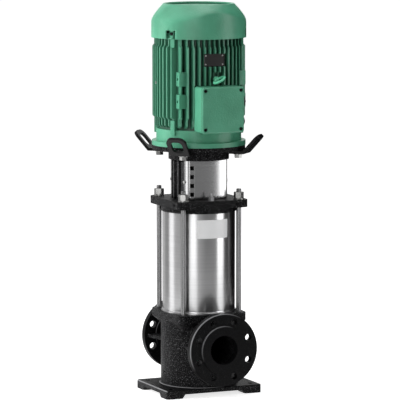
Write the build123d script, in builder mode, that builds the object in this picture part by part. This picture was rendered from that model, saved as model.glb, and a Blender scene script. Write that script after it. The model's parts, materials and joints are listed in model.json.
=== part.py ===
from build123d import *
from math import atan2, cos, degrees, radians, sin, sqrt, tan
import os

# Vertical multistage pump with in-line ports, a motor stool and a finned motor on top.
# The underside of the feet is at Z = 0, the shaft stands on the Z axis and the ports lie along Y.
# All sizes are in millimetres.

# Foot of the pump housing
foot_length = 285.0
foot_width = 214.0
foot_plate_thickness = 12.0
foot_pad_height = 11.0
foot_pad_length = 50.0
foot_pad_slope = 8.0
foot_corner_radius = 8.0
foot_edge_radius = 1.5
foot_hole_diameter = 14.0
foot_hole_spacing_x = 240.0
foot_hole_spacing_y = 160.0

# Pipe connections: cast flanges with a raised face and eight bolt holes
port_bore = 80.0
port_axis_height = 137.0
port_face_to_face = 340.0
port_flange_diameter = 200.0
port_flange_thickness = 22.0
port_pitch_circle = 160.0
port_bolt_count = 8
port_bolt_hole = 19.0
raised_face_diameter = 132.0
raised_face_height = 3.0
port_neck_wall = 12.0
port_rib_thickness = 9.0
port_rib_inset = 8.0

# Round body of the housing and its collar
body_diameter = 210.0
body_wall = 12.0
body_flare = 5.0
collar_top = 226.0
collar_thickness = 22.0
collar_side_reach = 105.5
collar_corner_reach = 135.0
collar_corner_radius = 22.0
collar_lug_height = 26.0
suction_chamber_diameter = 124.0
suction_chamber_floor = 50.0
inner_wall = 10.0
outlet_clearance = 3.0
inner_wall_top = 204.0
discharge_floor = 70.0
inner_pipe_wall = 8.0

# Plugs in the housing
gauge_plug_height = 174.0
gauge_plug_direction = 223.0
drain_plug_height = 59.0
drain_plug_direction = 180.0
plug_diameter = 13.0
plug_depth = 9.0
plug_head_height = 3.0
plug_socket = 6.0
drain_plug_recess = 1.0

# Outer sleeve and its seals
sleeve_diameter = 201.0
sleeve_wall = 2.5
sleeve_engagement = 8.0
sleeve_seat_gap = 0.3
base_ring_height = 5.0
base_ring_width = 2.8
seal_width = 2.0
seal_height = 3.0
label_width = 93.0
label_height = 51.0
label_bottom = 436.0
label_thickness = 0.6
label_glue = 0.1

# Stages
stage_count = 3
stage_pitch = 84.0
stage_diameter = 176.0
stage_wall = 3.0
stage_joint_gap = 0.2
suction_plate_thickness = 6.0
suction_spigot_height = 4.0
spider_rim = 4.0
eye_diameter = 62.0
eye_running_gap = 0.05
eye_neck_wall = 3.5
eye_neck_length = 8.0
impeller_diameter = 120.0
impeller_hub_diameter = 36.0
impeller_width = 20.0
shroud_thickness = 2.0
hub_joint_gap = 0.1
impeller_blade_count = 6
impeller_blade_thickness = 2.0
blade_wrap = 62.0
wrap_share_at_middle = 0.42
diffuser_vane_count = 6
diffuser_gap = 3.0
vane_thickness = 2.5
vane_wrap = 34.0
guide_disc_diameter = 152.0
guide_disc_thickness = 2.5
guide_disc_height = 38.0
guide_hub_gap = 0.4
return_vane_count = 6
return_vane_wrap = 48.0
top_chamber_height = 36.0
window_count = 6
window_width = 40.0
window_height = 20.0
bush_wall = 5.0
bush_length = 10.0
bush_running_gap = 0.05
spider_arm_width = 6.0

# Pump shaft, seal and head cover
pump_shaft_diameter = 24.0
pump_shaft_bottom = 199.0
shaft_collar_wall = 2.0
shaft_collar_height = 4.0
bellows_wall = 4.0
shaft_nut_height = 12.0
shaft_nut_flats = 32.0
head_cover_thickness = 20.0
head_boss_diameter = 89.0
head_boss_rise = 27.0
seal_chamber_diameter = 56.0
seal_chamber_floor_thickness = 6.0
shaft_passage_gap = 1.5
seal_seat_flange = 6.0
seal_seat_depth = 8.0
seal_ring_diameter = 42.0
seal_ring_height = 7.0
seal_face_gap = 0.05
spring_diameter = 38.0
spring_turns = 5

# Lantern between the pump and the motor
lantern_plate_bottom = 518.0
lantern_plate_thickness = 21.0
lantern_side_reach = 106.5
lantern_corner_reach = 141.0
lantern_corner_radius = 18.0
lantern_skirt_height = 14.0
lantern_skirt_wall = 3.2
leg_inner_radius = 58.0
leg_outer_radius = 67.0
leg_half_angle = 33.0
leg_rib_reach = 9.0
leg_rib_half_angle = 2.6
leg_rib_angles = (-17.0, 0.0, 17.0)
leg_pad_reach = 6.5
leg_pad_half_angle = 4.0
neck_bottom = 647.0
neck_diameter = 167.0
neck_bore = 120.0
lantern_flange_bottom = 673.4
lantern_flange_thickness = 13.1
lantern_flange_diameter = 256.0
plate_plug_inset = 1.5
left_plate_plug_y = -72.6
front_plate_plug_x = 67.0

# Tie rods
tie_rod_circle = 235.0
tie_rod_diameter = 14.0
tie_rod_depth = 24.0
tie_rod_hole_gap = 0.15
tie_rod_tip = 568.0
rod_nut_flats = 24.0
rod_nut_height = 17.0
rod_washer_diameter = 30.0
rod_washer_thickness = 3.0

# Vent plug and vent screw, which stand on the lantern plate
vent_x = -5.0
vent_y = -95.5
vent_flats = 15.0
vent_body_height = 9.0
vent_bore = 6.0
vent_bore_depth = 5.0
vent_screw_gap = 0.05
vent_screw_head = 8.0
vent_screw_head_height = 5.0
vent_tip_diameter = 4.5
vent_tip_height = 6.0

# Coupling guards
guard_diameter = 165.2
guard_thickness = 1.5
guard_bottom = 541.0
guard_top = 646.7
guard_arc_half_angle = 46.5
guard_lip_half_angle = 59.0
guard_lip_radius = 75.5
guard_hole_size = 10.0
guard_hole_pitch = 24.3
guard_hole_count = 4
guard_hole_angle = 38.0
guard_screw_height = 588.0
guard_screw_lip_share = 0.66
guard_screw_diameter = 7.0
guard_screw_head_height = 2.5
guard_screw_shank = 4.0

# Shaft coupling
coupling_diameter = 76.0
coupling_bottom = 566.0
coupling_length = 78.0
coupling_split = 2.0
coupling_bolt_diameter = 8.0
coupling_bolt_offset = 27.5
coupling_bolt_head = 13.0
coupling_bolt_head_height = 6.0
coupling_bolt_seat = 14.0
coupling_bolt_inset = 17.0
shaft_end_gap = 4.0

# Motor flange, lifting lugs and motor bolts
motor_flange_thickness = 13.0
motor_flange_diameter = 258.0
motor_spigot_diameter = 130.0
motor_spigot_depth = 5.0
motor_spigot_gap = 0.1
motor_bolt_circle = 232.0
motor_bolt_diameter = 12.0
motor_bolt_gap = 0.2
motor_bolt_flats = 19.0
motor_bolt_head_height = 12.6
motor_bolt_collar_diameter = 26.0
motor_bolt_collar_height = 3.0
motor_bolt_end_wall = 2.0
lug_thickness = 8.0
lug_width = 56.0
lug_foot_inner_radius = 98.0
lug_bend_radius = 137.0
lug_slope = 48.0
lug_length = 63.0
lug_corner_radius = 19.0
lug_eye_width = 32.0
lug_eye_length = 41.0
lug_eye_corner_radius = 12.0
lug_eye_rim = 12.0

# Motor
drive_shield_diameter = 234.0
drive_shield_top = 733.0
motor_frame_top = 985.0
stator_diameter = 202.0
stator_bore = 124.0
stator_bottom = 775.0
stator_length = 150.0
air_gap = 0.6
winding_inner_radius = 68.0
winding_outer_radius = 93.0
winding_height = 25.0
frame_wall = 7.0
shield_spigot_wall = 6.0
shield_spigot_length = 8.0
shield_spigot_gap = 0.1
fin_reach_diameter = 255.0
fin_end_diameter = 244.0
fin_full_bottom = 768.0
fin_full_top = 958.0
fin_slope = 6.0
fin_bottom_gap = 6.0
fin_pitch = 14.0
fin_thickness = 3.6
fins_per_side_y = 6
fins_per_side_x = 5
corner_wall_x = 91.0
corner_wall_thickness = 5.0
corner_wall_reach = 88.0
pad_face_x = 99.0
pad_face_y = 92.0
pad_length_x = 25.0
pad_length_y = 23.0
pad_height = 38.0
pad_bottoms = (793.5, 854.5)
pad_hole_diameter = 8.0
pad_hole_depth = 12.0
ear_direction = 30.0
ear_width = 14.0
ear_reach = 122.5
lower_ear_top = 760.0
upper_ear_bottom = 958.0
upper_ear_top = 1002.0
ear_gap = 0.2
end_shield_thickness = 12.0
end_shield_diameter = 226.0

# Motor shaft and bearings
motor_shaft_diameter = 38.0
bearing_bore = 40.0
bearing_outside = 80.0
bearing_width = 18.0
bearing_shield = 1.2
bearing_running_gap = 0.1
bearing_ring_thickness = 6.0
rotor_shaft_diameter = 48.0
fan_shaft_diameter = 32.0
motor_shaft_top = 1040.0
drive_bearing_bottom = 700.0
fan_bearing_bottom = 978.0
shield_floor_thickness = 6.5
bearing_hub_wall = 10.0

# Fan and cowl
cowl_diameter = 261.0
cowl_wall = 2.0
cowl_bottom = 981.5
cowl_shoulder = 1036.0
cowl_rim_diameter = 194.6
cowl_top = 1074.0
cowl_rim_width = 6.0
cowl_grille_drop = 6.0
cowl_bow_inward_share = 0.30
cowl_bow_height_share = 0.60
cowl_bow_wall_share = 0.75
grille_ring_width = 8.0
grille_slot_width = 10.0
grille_slot_count = 4
grille_spoke_width = 7.0
grille_hub_radius = 14.0
notch_width = 30.0
notch_bottom = 985.0
notch_top = 1005.0
notch_tab_gap = 0.3
notch_cut_gap = 0.2
cowl_screw_head = 9.0
cowl_screw_head_height = 2.4
cowl_screw_shank = 5.0
cowl_screw_height = 996.0
fan_diameter = 206.0
fan_bottom = 1004.0
fan_disc_thickness = 3.0
fan_blade_height = 26.0
fan_blade_count = 8
fan_blade_thickness = 3.0
fan_blade_overlap = 0.5
fan_hub_diameter = 52.0

# Terminal box
box_width = 124.0
box_bottom = 731.0
box_top = 855.0
box_back = 110.0
box_front = 155.5
box_wall = 4.0
box_corner_radius = 7.0
box_margin = 1.5
gasket_thickness = 1.0
cover_front = 164.0
cover_bevel = 2.5
cover_screw_inset = 9.5
cover_screw_diameter = 7.0
cover_screw_shank = 4.0
cover_screw_pocket = 11.0
cover_screw_pocket_depth = 4.0
cover_screw_head_height = 3.2
terminal_block_width = 60.0
terminal_block_height = 40.0
terminal_block_depth = 20.0
gland_heights = (814.0, 759.0)
gland_diameters = (36.0, 25.0)
gland_depth_position = 137.0
gland_reach = 10.0
gland_collar_length = 5.5
gland_hexagon_share = 0.72
gland_flange_overlap = 4.0

# Eye bolt, motor plate and earth screw
eye_bolt_height = 872.5
eye_bolt_centre = 136.0
eye_bolt_ring_radius = 15.5
eye_bolt_wire = 8.0
eye_bolt_tilt = 24.0
eye_bolt_shank = 10.0
eye_bolt_clearance = 2.0
eye_boss_diameter = 19.0
eye_boss_reach = 114.0
plate_x = -6.5
plate_width = 61.0
plate_height = 35.0
plate_bottom = 908.0
plate_thickness = 1.0
plate_gap = 0.3
earth_height = 860.0
earth_y = 0.0
earth_boss_diameter = 11.0
earth_boss_reach = 128.5
earth_screw_diameter = 8.0
earth_screw_head = 3.0

# Sizes worked out from those above
plate_top = foot_pad_height + foot_plate_thickness
port_face = port_face_to_face / 2
port_flange_back = port_face - port_flange_thickness
collar_bottom = collar_top - collar_thickness
sleeve_radius = sleeve_diameter / 2
sleeve_bore_radius = sleeve_radius - sleeve_wall
discharge_radius = body_diameter / 2 - body_wall
suction_radius = suction_chamber_diameter / 2
stack_bottom = inner_wall_top + suction_plate_thickness
stack_top = stack_bottom + stage_count * stage_pitch
head_cover_bottom = stack_top + top_chamber_height
head_cover_top = head_cover_bottom + head_cover_thickness
lantern_plate_top = lantern_plate_bottom + lantern_plate_thickness
lantern_flange_top = lantern_flange_bottom + lantern_flange_thickness
motor_flange_top = lantern_flange_top + motor_flange_thickness
shaft_radius = pump_shaft_diameter / 2
eye_radius = eye_diameter / 2
hub_radius = impeller_hub_diameter / 2
stage_radius = stage_diameter / 2
stage_bore_radius = stage_radius - stage_wall
shroud_bottom = eye_neck_length
blade_bottom = shroud_bottom + shroud_thickness
blade_top = blade_bottom + impeller_width
shroud_top = blade_top + shroud_thickness
hub_top = shroud_bottom + stage_pitch - hub_joint_gap
tie_radius = tie_rod_circle / 2
motor_bolt_radius = motor_bolt_circle / 2
frame_bore_radius = stator_diameter / 2
frame_radius = frame_bore_radius + frame_wall
box_middle = (box_bottom + box_top) / 2
box_height = box_top - box_bottom
coupling_top = coupling_bottom + coupling_length
shafts_meet = coupling_bottom + coupling_length / 2

corner_signs = [(x_sign, y_sign) for x_sign in (-1, 1) for y_sign in (-1, 1)]
hexagon = sqrt(3) / 2


def save(piece, name):
    """Label a finished piece and write it."""
    piece.part.label = name
    export_step(piece.part, f"parts/{name}.step")


def polar(radius, direction):
    """Point at a radius and a direction in degrees, in the plane of the sketch."""
    return (radius * cos(radians(direction)), radius * sin(radians(direction)))


def bowed_square(side_reach, corner_reach, corner_radius, height):
    """Sketch of a square with gently bowed sides and rounded corners, level at the height."""
    corner = (corner_reach + corner_radius * (sqrt(2) - 1)) / sqrt(2)
    with BuildSketch(Plane.XY.offset(height)) as outline:
        with BuildLine():
            ThreePointArc((-corner, -corner), (0, -side_reach), (corner, -corner))
            ThreePointArc((corner, -corner), (side_reach, 0), (corner, corner))
            ThreePointArc((corner, corner), (0, side_reach), (-corner, corner))
            ThreePointArc((-corner, corner), (-side_reach, 0), (-corner, -corner))
        make_face()
        fillet(outline.vertices(), corner_radius)
    return outline.sketch


def ring_sector(inner, outer, middle, half_angle):
    """Face between two radii, to both sides of the middle direction."""
    first = middle - half_angle
    last = middle + half_angle
    with BuildSketch() as sector:
        with BuildLine():
            CenterArc((0, 0), outer, first, 2 * half_angle)
            CenterArc((0, 0), inner, first, 2 * half_angle)
            Line(polar(inner, first), polar(outer, first))
            Line(polar(inner, last), polar(outer, last))
        make_face()
    return sector.sketch


def swept_vane(inner, outer, wrap, thickness, direction):
    """Curved vane from the inner to the outer radius, swept back by the wrap angle."""
    lead = degrees(thickness / outer)
    root = degrees(thickness / inner)
    middle = (inner + outer) / 2
    bow = direction + wrap * wrap_share_at_middle
    with BuildSketch() as vane:
        with BuildLine():
            ThreePointArc(polar(inner, direction), polar(middle, bow), polar(outer, direction + wrap))
            Line(polar(outer, direction + wrap), polar(outer, direction + wrap + lead))
            ThreePointArc(
                polar(outer, direction + wrap + lead),
                polar(middle, bow + (lead + root) / 2),
                polar(inner, direction + root),
            )
            Line(polar(inner, direction + root), polar(inner, direction))
        make_face()
    return vane.sketch


def ring(outer, inner, bottom, top):
    """Plain ring about the shaft axis, added to the part being built."""
    with BuildSketch(Plane.XY.offset(bottom)) as disc:
        Circle(outer)
        Circle(inner, mode=Mode.SUBTRACT)
    extrude(disc.sketch, amount=top - bottom)


def side_plane(direction, distance, height):
    """Plane that faces outwards in a level direction, its own Y axis upwards."""
    x, y = polar(distance, direction)
    across = polar(1, direction + 90)
    outward = polar(1, direction)
    return Plane(origin=(x, y, height), x_dir=(*across, 0), z_dir=(*outward, 0))


os.makedirs("parts", exist_ok=True)

# Pump housing: one casting with the foot, both ports, the suction and discharge chambers and the collar
with BuildPart() as pump_housing:
    with BuildSketch(Plane.XY.offset(foot_pad_height)):
        RectangleRounded(foot_length, foot_width, foot_corner_radius)
    extrude(amount=foot_plate_thickness)
    chamfer(pump_housing.faces().sort_by(Axis.Z)[-1].edges(), foot_edge_radius)
    for x_sign, y_sign in corner_signs:
        pad_x = x_sign * (foot_length - foot_pad_length) / 2
        pad_y = y_sign * (foot_width - foot_pad_length) / 2
        with BuildSketch(Plane.XY):
            with Locations((pad_x, pad_y)):
                RectangleRounded(foot_pad_length, foot_pad_length, foot_corner_radius)
        with BuildSketch(Plane.XY.offset(foot_pad_height)):
            with Locations((pad_x - x_sign * foot_pad_slope / 2, pad_y - y_sign * foot_pad_slope / 2)):
                RectangleRounded(
                    foot_pad_length + foot_pad_slope, foot_pad_length + foot_pad_slope, foot_corner_radius
                )
        loft(ruled=True)
    with BuildSketch(Plane.XZ):
        with BuildLine():
            flare_start = (body_diameter / 2 + body_flare, plate_top)
            flare_end = (body_diameter / 2, plate_top + body_flare)
            Line((0, foot_pad_height), (flare_start[0], foot_pad_height))
            Line((flare_start[0], foot_pad_height), flare_start)
            Line(flare_start, flare_end)
            Line(flare_end, (body_diameter / 2, collar_top))
            Line((body_diameter / 2, collar_top), (0, collar_top))
            Line((0, collar_top), (0, foot_pad_height))
        make_face()
    revolve(axis=Axis.Z)
    for y_sign in (-1, 1):
        with BuildSketch(Plane.XY):
            with Locations((0, y_sign * (foot_width / 2 + body_flare))):
                Rectangle(foot_length, 2 * body_flare)
        extrude(amount=plate_top + 2 * body_flare, mode=Mode.SUBTRACT)
    lug_shrink = collar_corner_reach - body_diameter / 2 + foot_edge_radius
    lug_outline = bowed_square(
        collar_side_reach - lug_shrink,
        collar_corner_reach - lug_shrink,
        collar_corner_radius,
        collar_bottom - collar_lug_height,
    )
    collar_outline = bowed_square(
        collar_side_reach, collar_corner_reach, collar_corner_radius, collar_bottom
    )
    loft([lug_outline, collar_outline], ruled=True)
    extrude(collar_outline, amount=collar_thickness)
    for y_sign in (-1, 1):
        port = Plane(origin=(0, 0, port_axis_height), x_dir=(1, 0, 0), z_dir=(0, y_sign, 0))
        with BuildSketch(port):
            Circle(port_bore / 2 + port_neck_wall)
        extrude(amount=port_flange_back)
        with BuildSketch(port.offset(port_flange_back)):
            Circle(port_flange_diameter / 2)
        extrude(amount=port_flange_thickness - raised_face_height)
        with BuildSketch(port.offset(port_face - raised_face_height)):
            Circle(raised_face_diameter / 2)
        extrude(amount=raised_face_height)
        rib_end = port_flange_diameter / 2 - port_rib_inset
        rib_root = body_diameter / 2 * cos(radians(45))
        with BuildSketch(Plane.XY.offset(port_axis_height)):
            with BuildLine():
                Polyline(
                    (-rib_end, y_sign * port_flange_back),
                    (rib_end, y_sign * port_flange_back),
                    (rib_root, y_sign * rib_root),
                    (-rib_root, y_sign * rib_root),
                    close=True,
                )
            make_face()
        extrude(amount=port_rib_thickness / 2, both=True)
        with BuildSketch(port.offset(port_flange_back)):
            with PolarLocations(port_pitch_circle / 2, port_bolt_count, start_angle=180 / port_bolt_count):
                Circle(port_bolt_hole / 2)
        extrude(amount=port_flange_thickness, mode=Mode.SUBTRACT)
    with BuildSketch(Plane.XY.offset(discharge_floor)):
        Circle(discharge_radius)
        Circle(suction_radius + inner_wall, mode=Mode.SUBTRACT)
    extrude(amount=collar_top - discharge_floor, mode=Mode.SUBTRACT)
    with BuildSketch(Plane.XY.offset(inner_wall_top)):
        Circle(discharge_radius)
    extrude(amount=collar_top - inner_wall_top, mode=Mode.SUBTRACT)
    inlet = Plane(origin=(0, 0, port_axis_height), x_dir=(1, 0, 0), z_dir=(0, -1, 0))
    inner_pipe_start = suction_radius - inner_wall
    with BuildSketch(inlet.offset(inner_pipe_start)):
        Circle(port_bore / 2 + inner_pipe_wall)
    extrude(amount=discharge_radius + body_wall / 2 - inner_pipe_start)
    with BuildSketch(Plane.XY.offset(suction_chamber_floor)):
        Circle(suction_radius)
    extrude(amount=inner_wall_top - suction_chamber_floor, mode=Mode.SUBTRACT)
    with BuildSketch(inlet):
        Circle(port_bore / 2)
    extrude(amount=port_face, mode=Mode.SUBTRACT)
    outlet = Plane(origin=(0, 0, port_axis_height), x_dir=(1, 0, 0), z_dir=(0, 1, 0))
    outlet_start = suction_radius + inner_wall + outlet_clearance
    with BuildSketch(outlet.offset(outlet_start)):
        Circle(port_bore / 2)
    extrude(amount=port_face - outlet_start, mode=Mode.SUBTRACT)
    with BuildSketch(Plane.XY.offset(collar_top - sleeve_engagement)):
        Circle(sleeve_radius + sleeve_seat_gap)
        Circle(sleeve_bore_radius - sleeve_seat_gap, mode=Mode.SUBTRACT)
    extrude(amount=sleeve_engagement, mode=Mode.SUBTRACT)
    lower_seal_bottom = collar_top - (sleeve_engagement + seal_height) / 2
    with BuildSketch(Plane.XY.offset(lower_seal_bottom)):
        Circle(sleeve_bore_radius)
        Circle(sleeve_bore_radius - seal_width, mode=Mode.SUBTRACT)
    extrude(amount=seal_height, mode=Mode.SUBTRACT)
    with BuildSketch(Plane.XY.offset(collar_top - tie_rod_depth)):
        with PolarLocations(tie_radius, 4, start_angle=45):
            Circle(tie_rod_diameter / 2 + tie_rod_hole_gap)
    extrude(amount=tie_rod_depth, mode=Mode.SUBTRACT)
    with BuildSketch(Plane.XY):
        with GridLocations(foot_hole_spacing_x, foot_hole_spacing_y, 2, 2):
            Circle(foot_hole_diameter / 2)
    extrude(amount=plate_top, mode=Mode.SUBTRACT)
    for direction, height in (
        (gauge_plug_direction, gauge_plug_height),
        (drain_plug_direction, drain_plug_height),
    ):
        with BuildSketch(side_plane(direction, body_diameter / 2 - plug_depth, height)):
            Circle(plug_diameter / 2)
        extrude(amount=plug_depth + plug_head_height, mode=Mode.SUBTRACT)
save(pump_housing, "pump_housing")

# Gauge plug below the collar, with a raised head
with BuildPart() as gauge_plug:
    with BuildSketch(side_plane(gauge_plug_direction, body_diameter / 2 - plug_depth, gauge_plug_height)):
        Circle(plug_diameter / 2)
    extrude(amount=plug_depth)
    with BuildSketch(side_plane(gauge_plug_direction, body_diameter / 2, gauge_plug_height)):
        Circle(plug_diameter / 2)
    extrude(amount=plug_head_height)
    with BuildSketch(side_plane(gauge_plug_direction, body_diameter / 2, gauge_plug_height)):
        RegularPolygon(plug_socket / 2, 6, major_radius=False)
    extrude(amount=plug_head_height, mode=Mode.SUBTRACT)
save(gauge_plug, "gauge_plug")

# Drain plug low on the body, nearly flush
with BuildPart() as drain_plug:
    with BuildSketch(side_plane(drain_plug_direction, body_diameter / 2 - plug_depth, drain_plug_height)):
        Circle(plug_diameter / 2)
    extrude(amount=plug_depth - drain_plug_recess)
    socket_floor = body_diameter / 2 - plug_depth / 2
    with BuildSketch(side_plane(drain_plug_direction, socket_floor, drain_plug_height)):
        RegularPolygon(plug_socket / 2, 6, major_radius=False)
    extrude(amount=plug_depth, mode=Mode.SUBTRACT)
save(drain_plug, "drain_plug")

# Outer sleeve and the bright ring at its foot
sleeve_top = lantern_plate_bottom - sleeve_seat_gap
with BuildPart() as outer_sleeve:
    ring(sleeve_radius, sleeve_bore_radius, collar_top - sleeve_engagement, sleeve_top)
save(outer_sleeve, "outer_sleeve")

with BuildPart() as sleeve_base_ring:
    ring(sleeve_radius + base_ring_width, sleeve_radius, collar_top, collar_top + base_ring_height)
    chamfer(sleeve_base_ring.edges().group_by(Axis.Z)[-1].sort_by(SortBy.RADIUS)[-1], base_ring_width / 2)
save(sleeve_base_ring, "sleeve_base_ring")

# Seals at both ends of the sleeve
upper_seal_bottom = head_cover_top - (sleeve_engagement + seal_height) / 2
with BuildPart() as sleeve_seals:
    for seal_bottom in (lower_seal_bottom, upper_seal_bottom):
        ring(sleeve_bore_radius, sleeve_bore_radius - seal_width, seal_bottom, seal_bottom + seal_height)
save(sleeve_seals, "sleeve_seals")

# Plain plate on the sleeve, facing the front port
with BuildPart() as sleeve_label:
    with BuildSketch(Plane.XY.offset(label_bottom)):
        label_back = sleeve_radius + label_glue
        half_turn = degrees(label_width / 2 / sleeve_radius)
        add(ring_sector(label_back, label_back + label_thickness, -90, half_turn))
    extrude(amount=label_height)
save(sleeve_label, "sleeve_label")

# Suction plate, which carries the stages on the housing's inner wall and the lower shaft bush
bush_radius = shaft_radius + bush_running_gap
with BuildPart() as suction_plate:
    ring(stage_radius, eye_radius, inner_wall_top, stack_bottom)
    spigot_bottom = inner_wall_top - suction_spigot_height
    ring(suction_radius - sleeve_seat_gap, suction_radius - inner_wall / 2, spigot_bottom, inner_wall_top)
    ring(bush_radius + bush_wall + spider_rim, bush_radius + bush_wall, inner_wall_top, stack_bottom)
    arm_start = bush_radius + bush_wall + spider_rim / 2
    arm_end = eye_radius + spider_rim / 2
    with BuildSketch(Plane.XY.offset(inner_wall_top)):
        with PolarLocations((arm_start + arm_end) / 2, 3):
            Rectangle(arm_end - arm_start, spider_arm_width)
    extrude(amount=suction_plate_thickness)
save(suction_plate, "suction_plate")

bush_middle = (inner_wall_top + stack_bottom) / 2
with BuildPart() as shaft_bush:
    ring(bush_radius + bush_wall, bush_radius, bush_middle - bush_length / 2, bush_middle + bush_length / 2)
save(shaft_bush, "shaft_bush")

# One stage casing: a cup with an inlet eye and diffuser vanes on its floor
with BuildPart() as one_casing:
    ring(stage_radius, eye_radius, 0, stage_wall)
    ring(stage_radius, stage_bore_radius, stage_wall, stage_pitch - stage_joint_gap)
    with BuildSketch(Plane.XY.offset(stage_wall)):
        for number in range(diffuser_vane_count):
            add(
                swept_vane(
                    impeller_diameter / 2 + diffuser_gap,
                    stage_bore_radius + stage_wall / 2,
                    vane_wrap,
                    vane_thickness,
                    number * 360 / diffuser_vane_count,
                )
            )
    extrude(amount=guide_disc_height - stage_wall)

with BuildPart() as stage_casings:
    with Locations([(0, 0, stack_bottom + number * stage_pitch) for number in range(stage_count)]):
        add(one_casing.part)
save(stage_casings, "stage_casings")

# One return guide: a disc over the impeller with vanes that lead the water back to the shaft
guide_vane_bottom = guide_disc_height + guide_disc_thickness
with BuildPart() as one_guide:
    ring(guide_disc_diameter / 2, hub_radius + guide_hub_gap, guide_disc_height, guide_vane_bottom)
    with BuildSketch(Plane.XY.offset(guide_disc_height)):
        for number in range(return_vane_count):
            add(
                swept_vane(
                    eye_radius + diffuser_gap,
                    guide_disc_diameter / 2 - vane_thickness,
                    return_vane_wrap,
                    vane_thickness,
                    number * 360 / return_vane_count,
                )
            )
    extrude(amount=stage_pitch - guide_disc_height)

with BuildPart() as return_guides:
    with Locations([(0, 0, stack_bottom + number * stage_pitch) for number in range(stage_count)]):
        add(one_guide.part)
save(return_guides, "return_guides")

# Top chamber with windows into the space between the stages and the sleeve
with BuildPart() as top_chamber:
    ring(stage_radius, eye_radius, stack_top, stack_top + stage_wall)
    ring(stage_radius, stage_bore_radius, stack_top + stage_wall, head_cover_bottom)
    window_bottom = (stack_top + stage_wall + head_cover_bottom - window_height) / 2
    with BuildSketch(Plane.XY.offset(window_bottom)):
        with PolarLocations(stage_radius, window_count):
            Rectangle(4 * stage_wall, window_width)
    extrude(amount=window_height, mode=Mode.SUBTRACT)
save(top_chamber, "top_chamber")

# Impeller: two shrouds with swept blades between them, an inlet neck and a hub on the shaft
with BuildPart() as one_impeller:
    neck_outer = eye_radius - eye_running_gap
    neck_inner = neck_outer - eye_neck_wall
    with BuildSketch(Plane.XZ):
        with BuildLine():
            Polyline(
                (neck_inner, 0),
                (neck_outer, 0),
                (neck_outer, shroud_bottom),
                (impeller_diameter / 2, shroud_bottom),
                (impeller_diameter / 2, blade_bottom),
                (neck_inner, blade_bottom),
                close=True,
            )
        make_face()
        with BuildLine():
            Polyline(
                (shaft_radius, shroud_bottom),
                (hub_radius, shroud_bottom),
                (hub_radius, blade_top),
                (impeller_diameter / 2, blade_top),
                (impeller_diameter / 2, shroud_top),
                (hub_radius, shroud_top),
                (hub_radius, hub_top),
                (shaft_radius, hub_top),
                close=True,
            )
        make_face()
    revolve(axis=Axis.Z)
    with BuildSketch(Plane.XY.offset(blade_bottom)):
        for number in range(impeller_blade_count):
            add(
                swept_vane(
                    neck_inner + 1,
                    impeller_diameter / 2 - 0.5,
                    -blade_wrap,
                    impeller_blade_thickness,
                    number * 360 / impeller_blade_count,
                )
            )
    extrude(amount=impeller_width)

with BuildPart() as impellers:
    with Locations([(0, 0, stack_bottom + number * stage_pitch) for number in range(stage_count)]):
        add(one_impeller.part)
save(impellers, "impellers")

# Nut above the last impeller hub; the long hubs space the impellers along the shaft
last_hub_top = stack_bottom + (stage_count - 1) * stage_pitch + hub_top
with BuildPart() as shaft_nut:
    with BuildSketch(Plane.XY.offset(last_hub_top)):
        RegularPolygon(shaft_nut_flats / 2, 6, major_radius=False)
        Circle(shaft_radius, mode=Mode.SUBTRACT)
    extrude(amount=shaft_nut_height)
save(shaft_nut, "shaft_nut")

# Pump shaft, with a collar that the lowest hub stands on
pump_shaft_top = shafts_meet - shaft_end_gap / 2
with BuildPart() as pump_shaft:
    with BuildSketch(Plane.XY.offset(pump_shaft_bottom)):
        Circle(shaft_radius)
    extrude(amount=pump_shaft_top - pump_shaft_bottom)
    chamfer(pump_shaft.edges().group_by(Axis.Z)[0], 1)
    lowest_hub = stack_bottom + shroud_bottom
    ring(shaft_radius + shaft_collar_wall, shaft_radius / 2, lowest_hub - shaft_collar_height, lowest_hub)
save(pump_shaft, "pump_shaft")

# Head cover, which closes the sleeve and holds the shaft seal
seal_chamber_floor = head_cover_bottom + seal_chamber_floor_thickness
head_boss_top = head_cover_top + head_boss_rise
cover_radius = sleeve_bore_radius - sleeve_seat_gap
with BuildPart() as head_cover:
    with BuildSketch(Plane.XZ):
        with BuildLine():
            Polyline(
                (shaft_radius + shaft_passage_gap, head_cover_bottom),
                (cover_radius, head_cover_bottom),
                (cover_radius, head_cover_top),
                (head_boss_diameter / 2, head_cover_top),
                (head_boss_diameter / 2, head_boss_top),
                (seal_chamber_diameter / 2, head_boss_top),
                (seal_chamber_diameter / 2, seal_chamber_floor),
                (shaft_radius + shaft_passage_gap, seal_chamber_floor),
                close=True,
            )
        make_face()
    revolve(axis=Axis.Z)
    with BuildSketch(Plane.XY.offset(upper_seal_bottom)):
        Circle(sleeve_bore_radius)
        Circle(sleeve_bore_radius - seal_width, mode=Mode.SUBTRACT)
    extrude(amount=seal_height, mode=Mode.SUBTRACT)
save(head_cover, "head_cover")

# Shaft seal: a fixed seat, a turning ring and the spring that presses them together
seat_bottom = head_boss_top - seal_seat_depth
with BuildPart() as seal_seat:
    with BuildSketch(Plane.XZ):
        with BuildLine():
            seat_bore = shaft_radius + shaft_passage_gap
            seat_radius = seal_chamber_diameter / 2 - bearing_running_gap
            Polyline(
                (seat_bore, seat_bottom),
                (seat_radius, seat_bottom),
                (seat_radius, head_boss_top),
                (head_boss_diameter / 2 - seal_seat_flange, head_boss_top),
                (head_boss_diameter / 2 - seal_seat_flange, head_boss_top + seal_seat_flange),
                (seat_bore, head_boss_top + seal_seat_flange),
                close=True,
            )
        make_face()
    revolve(axis=Axis.Z)
save(seal_seat, "seal_seat")

seal_ring_top = seat_bottom - seal_face_gap
seal_ring_bottom = seal_ring_top - seal_ring_height
with BuildPart() as seal_ring:
    ring(seal_ring_diameter / 2, shaft_radius, seal_ring_bottom, seal_ring_top)
save(seal_ring, "seal_ring")

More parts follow.
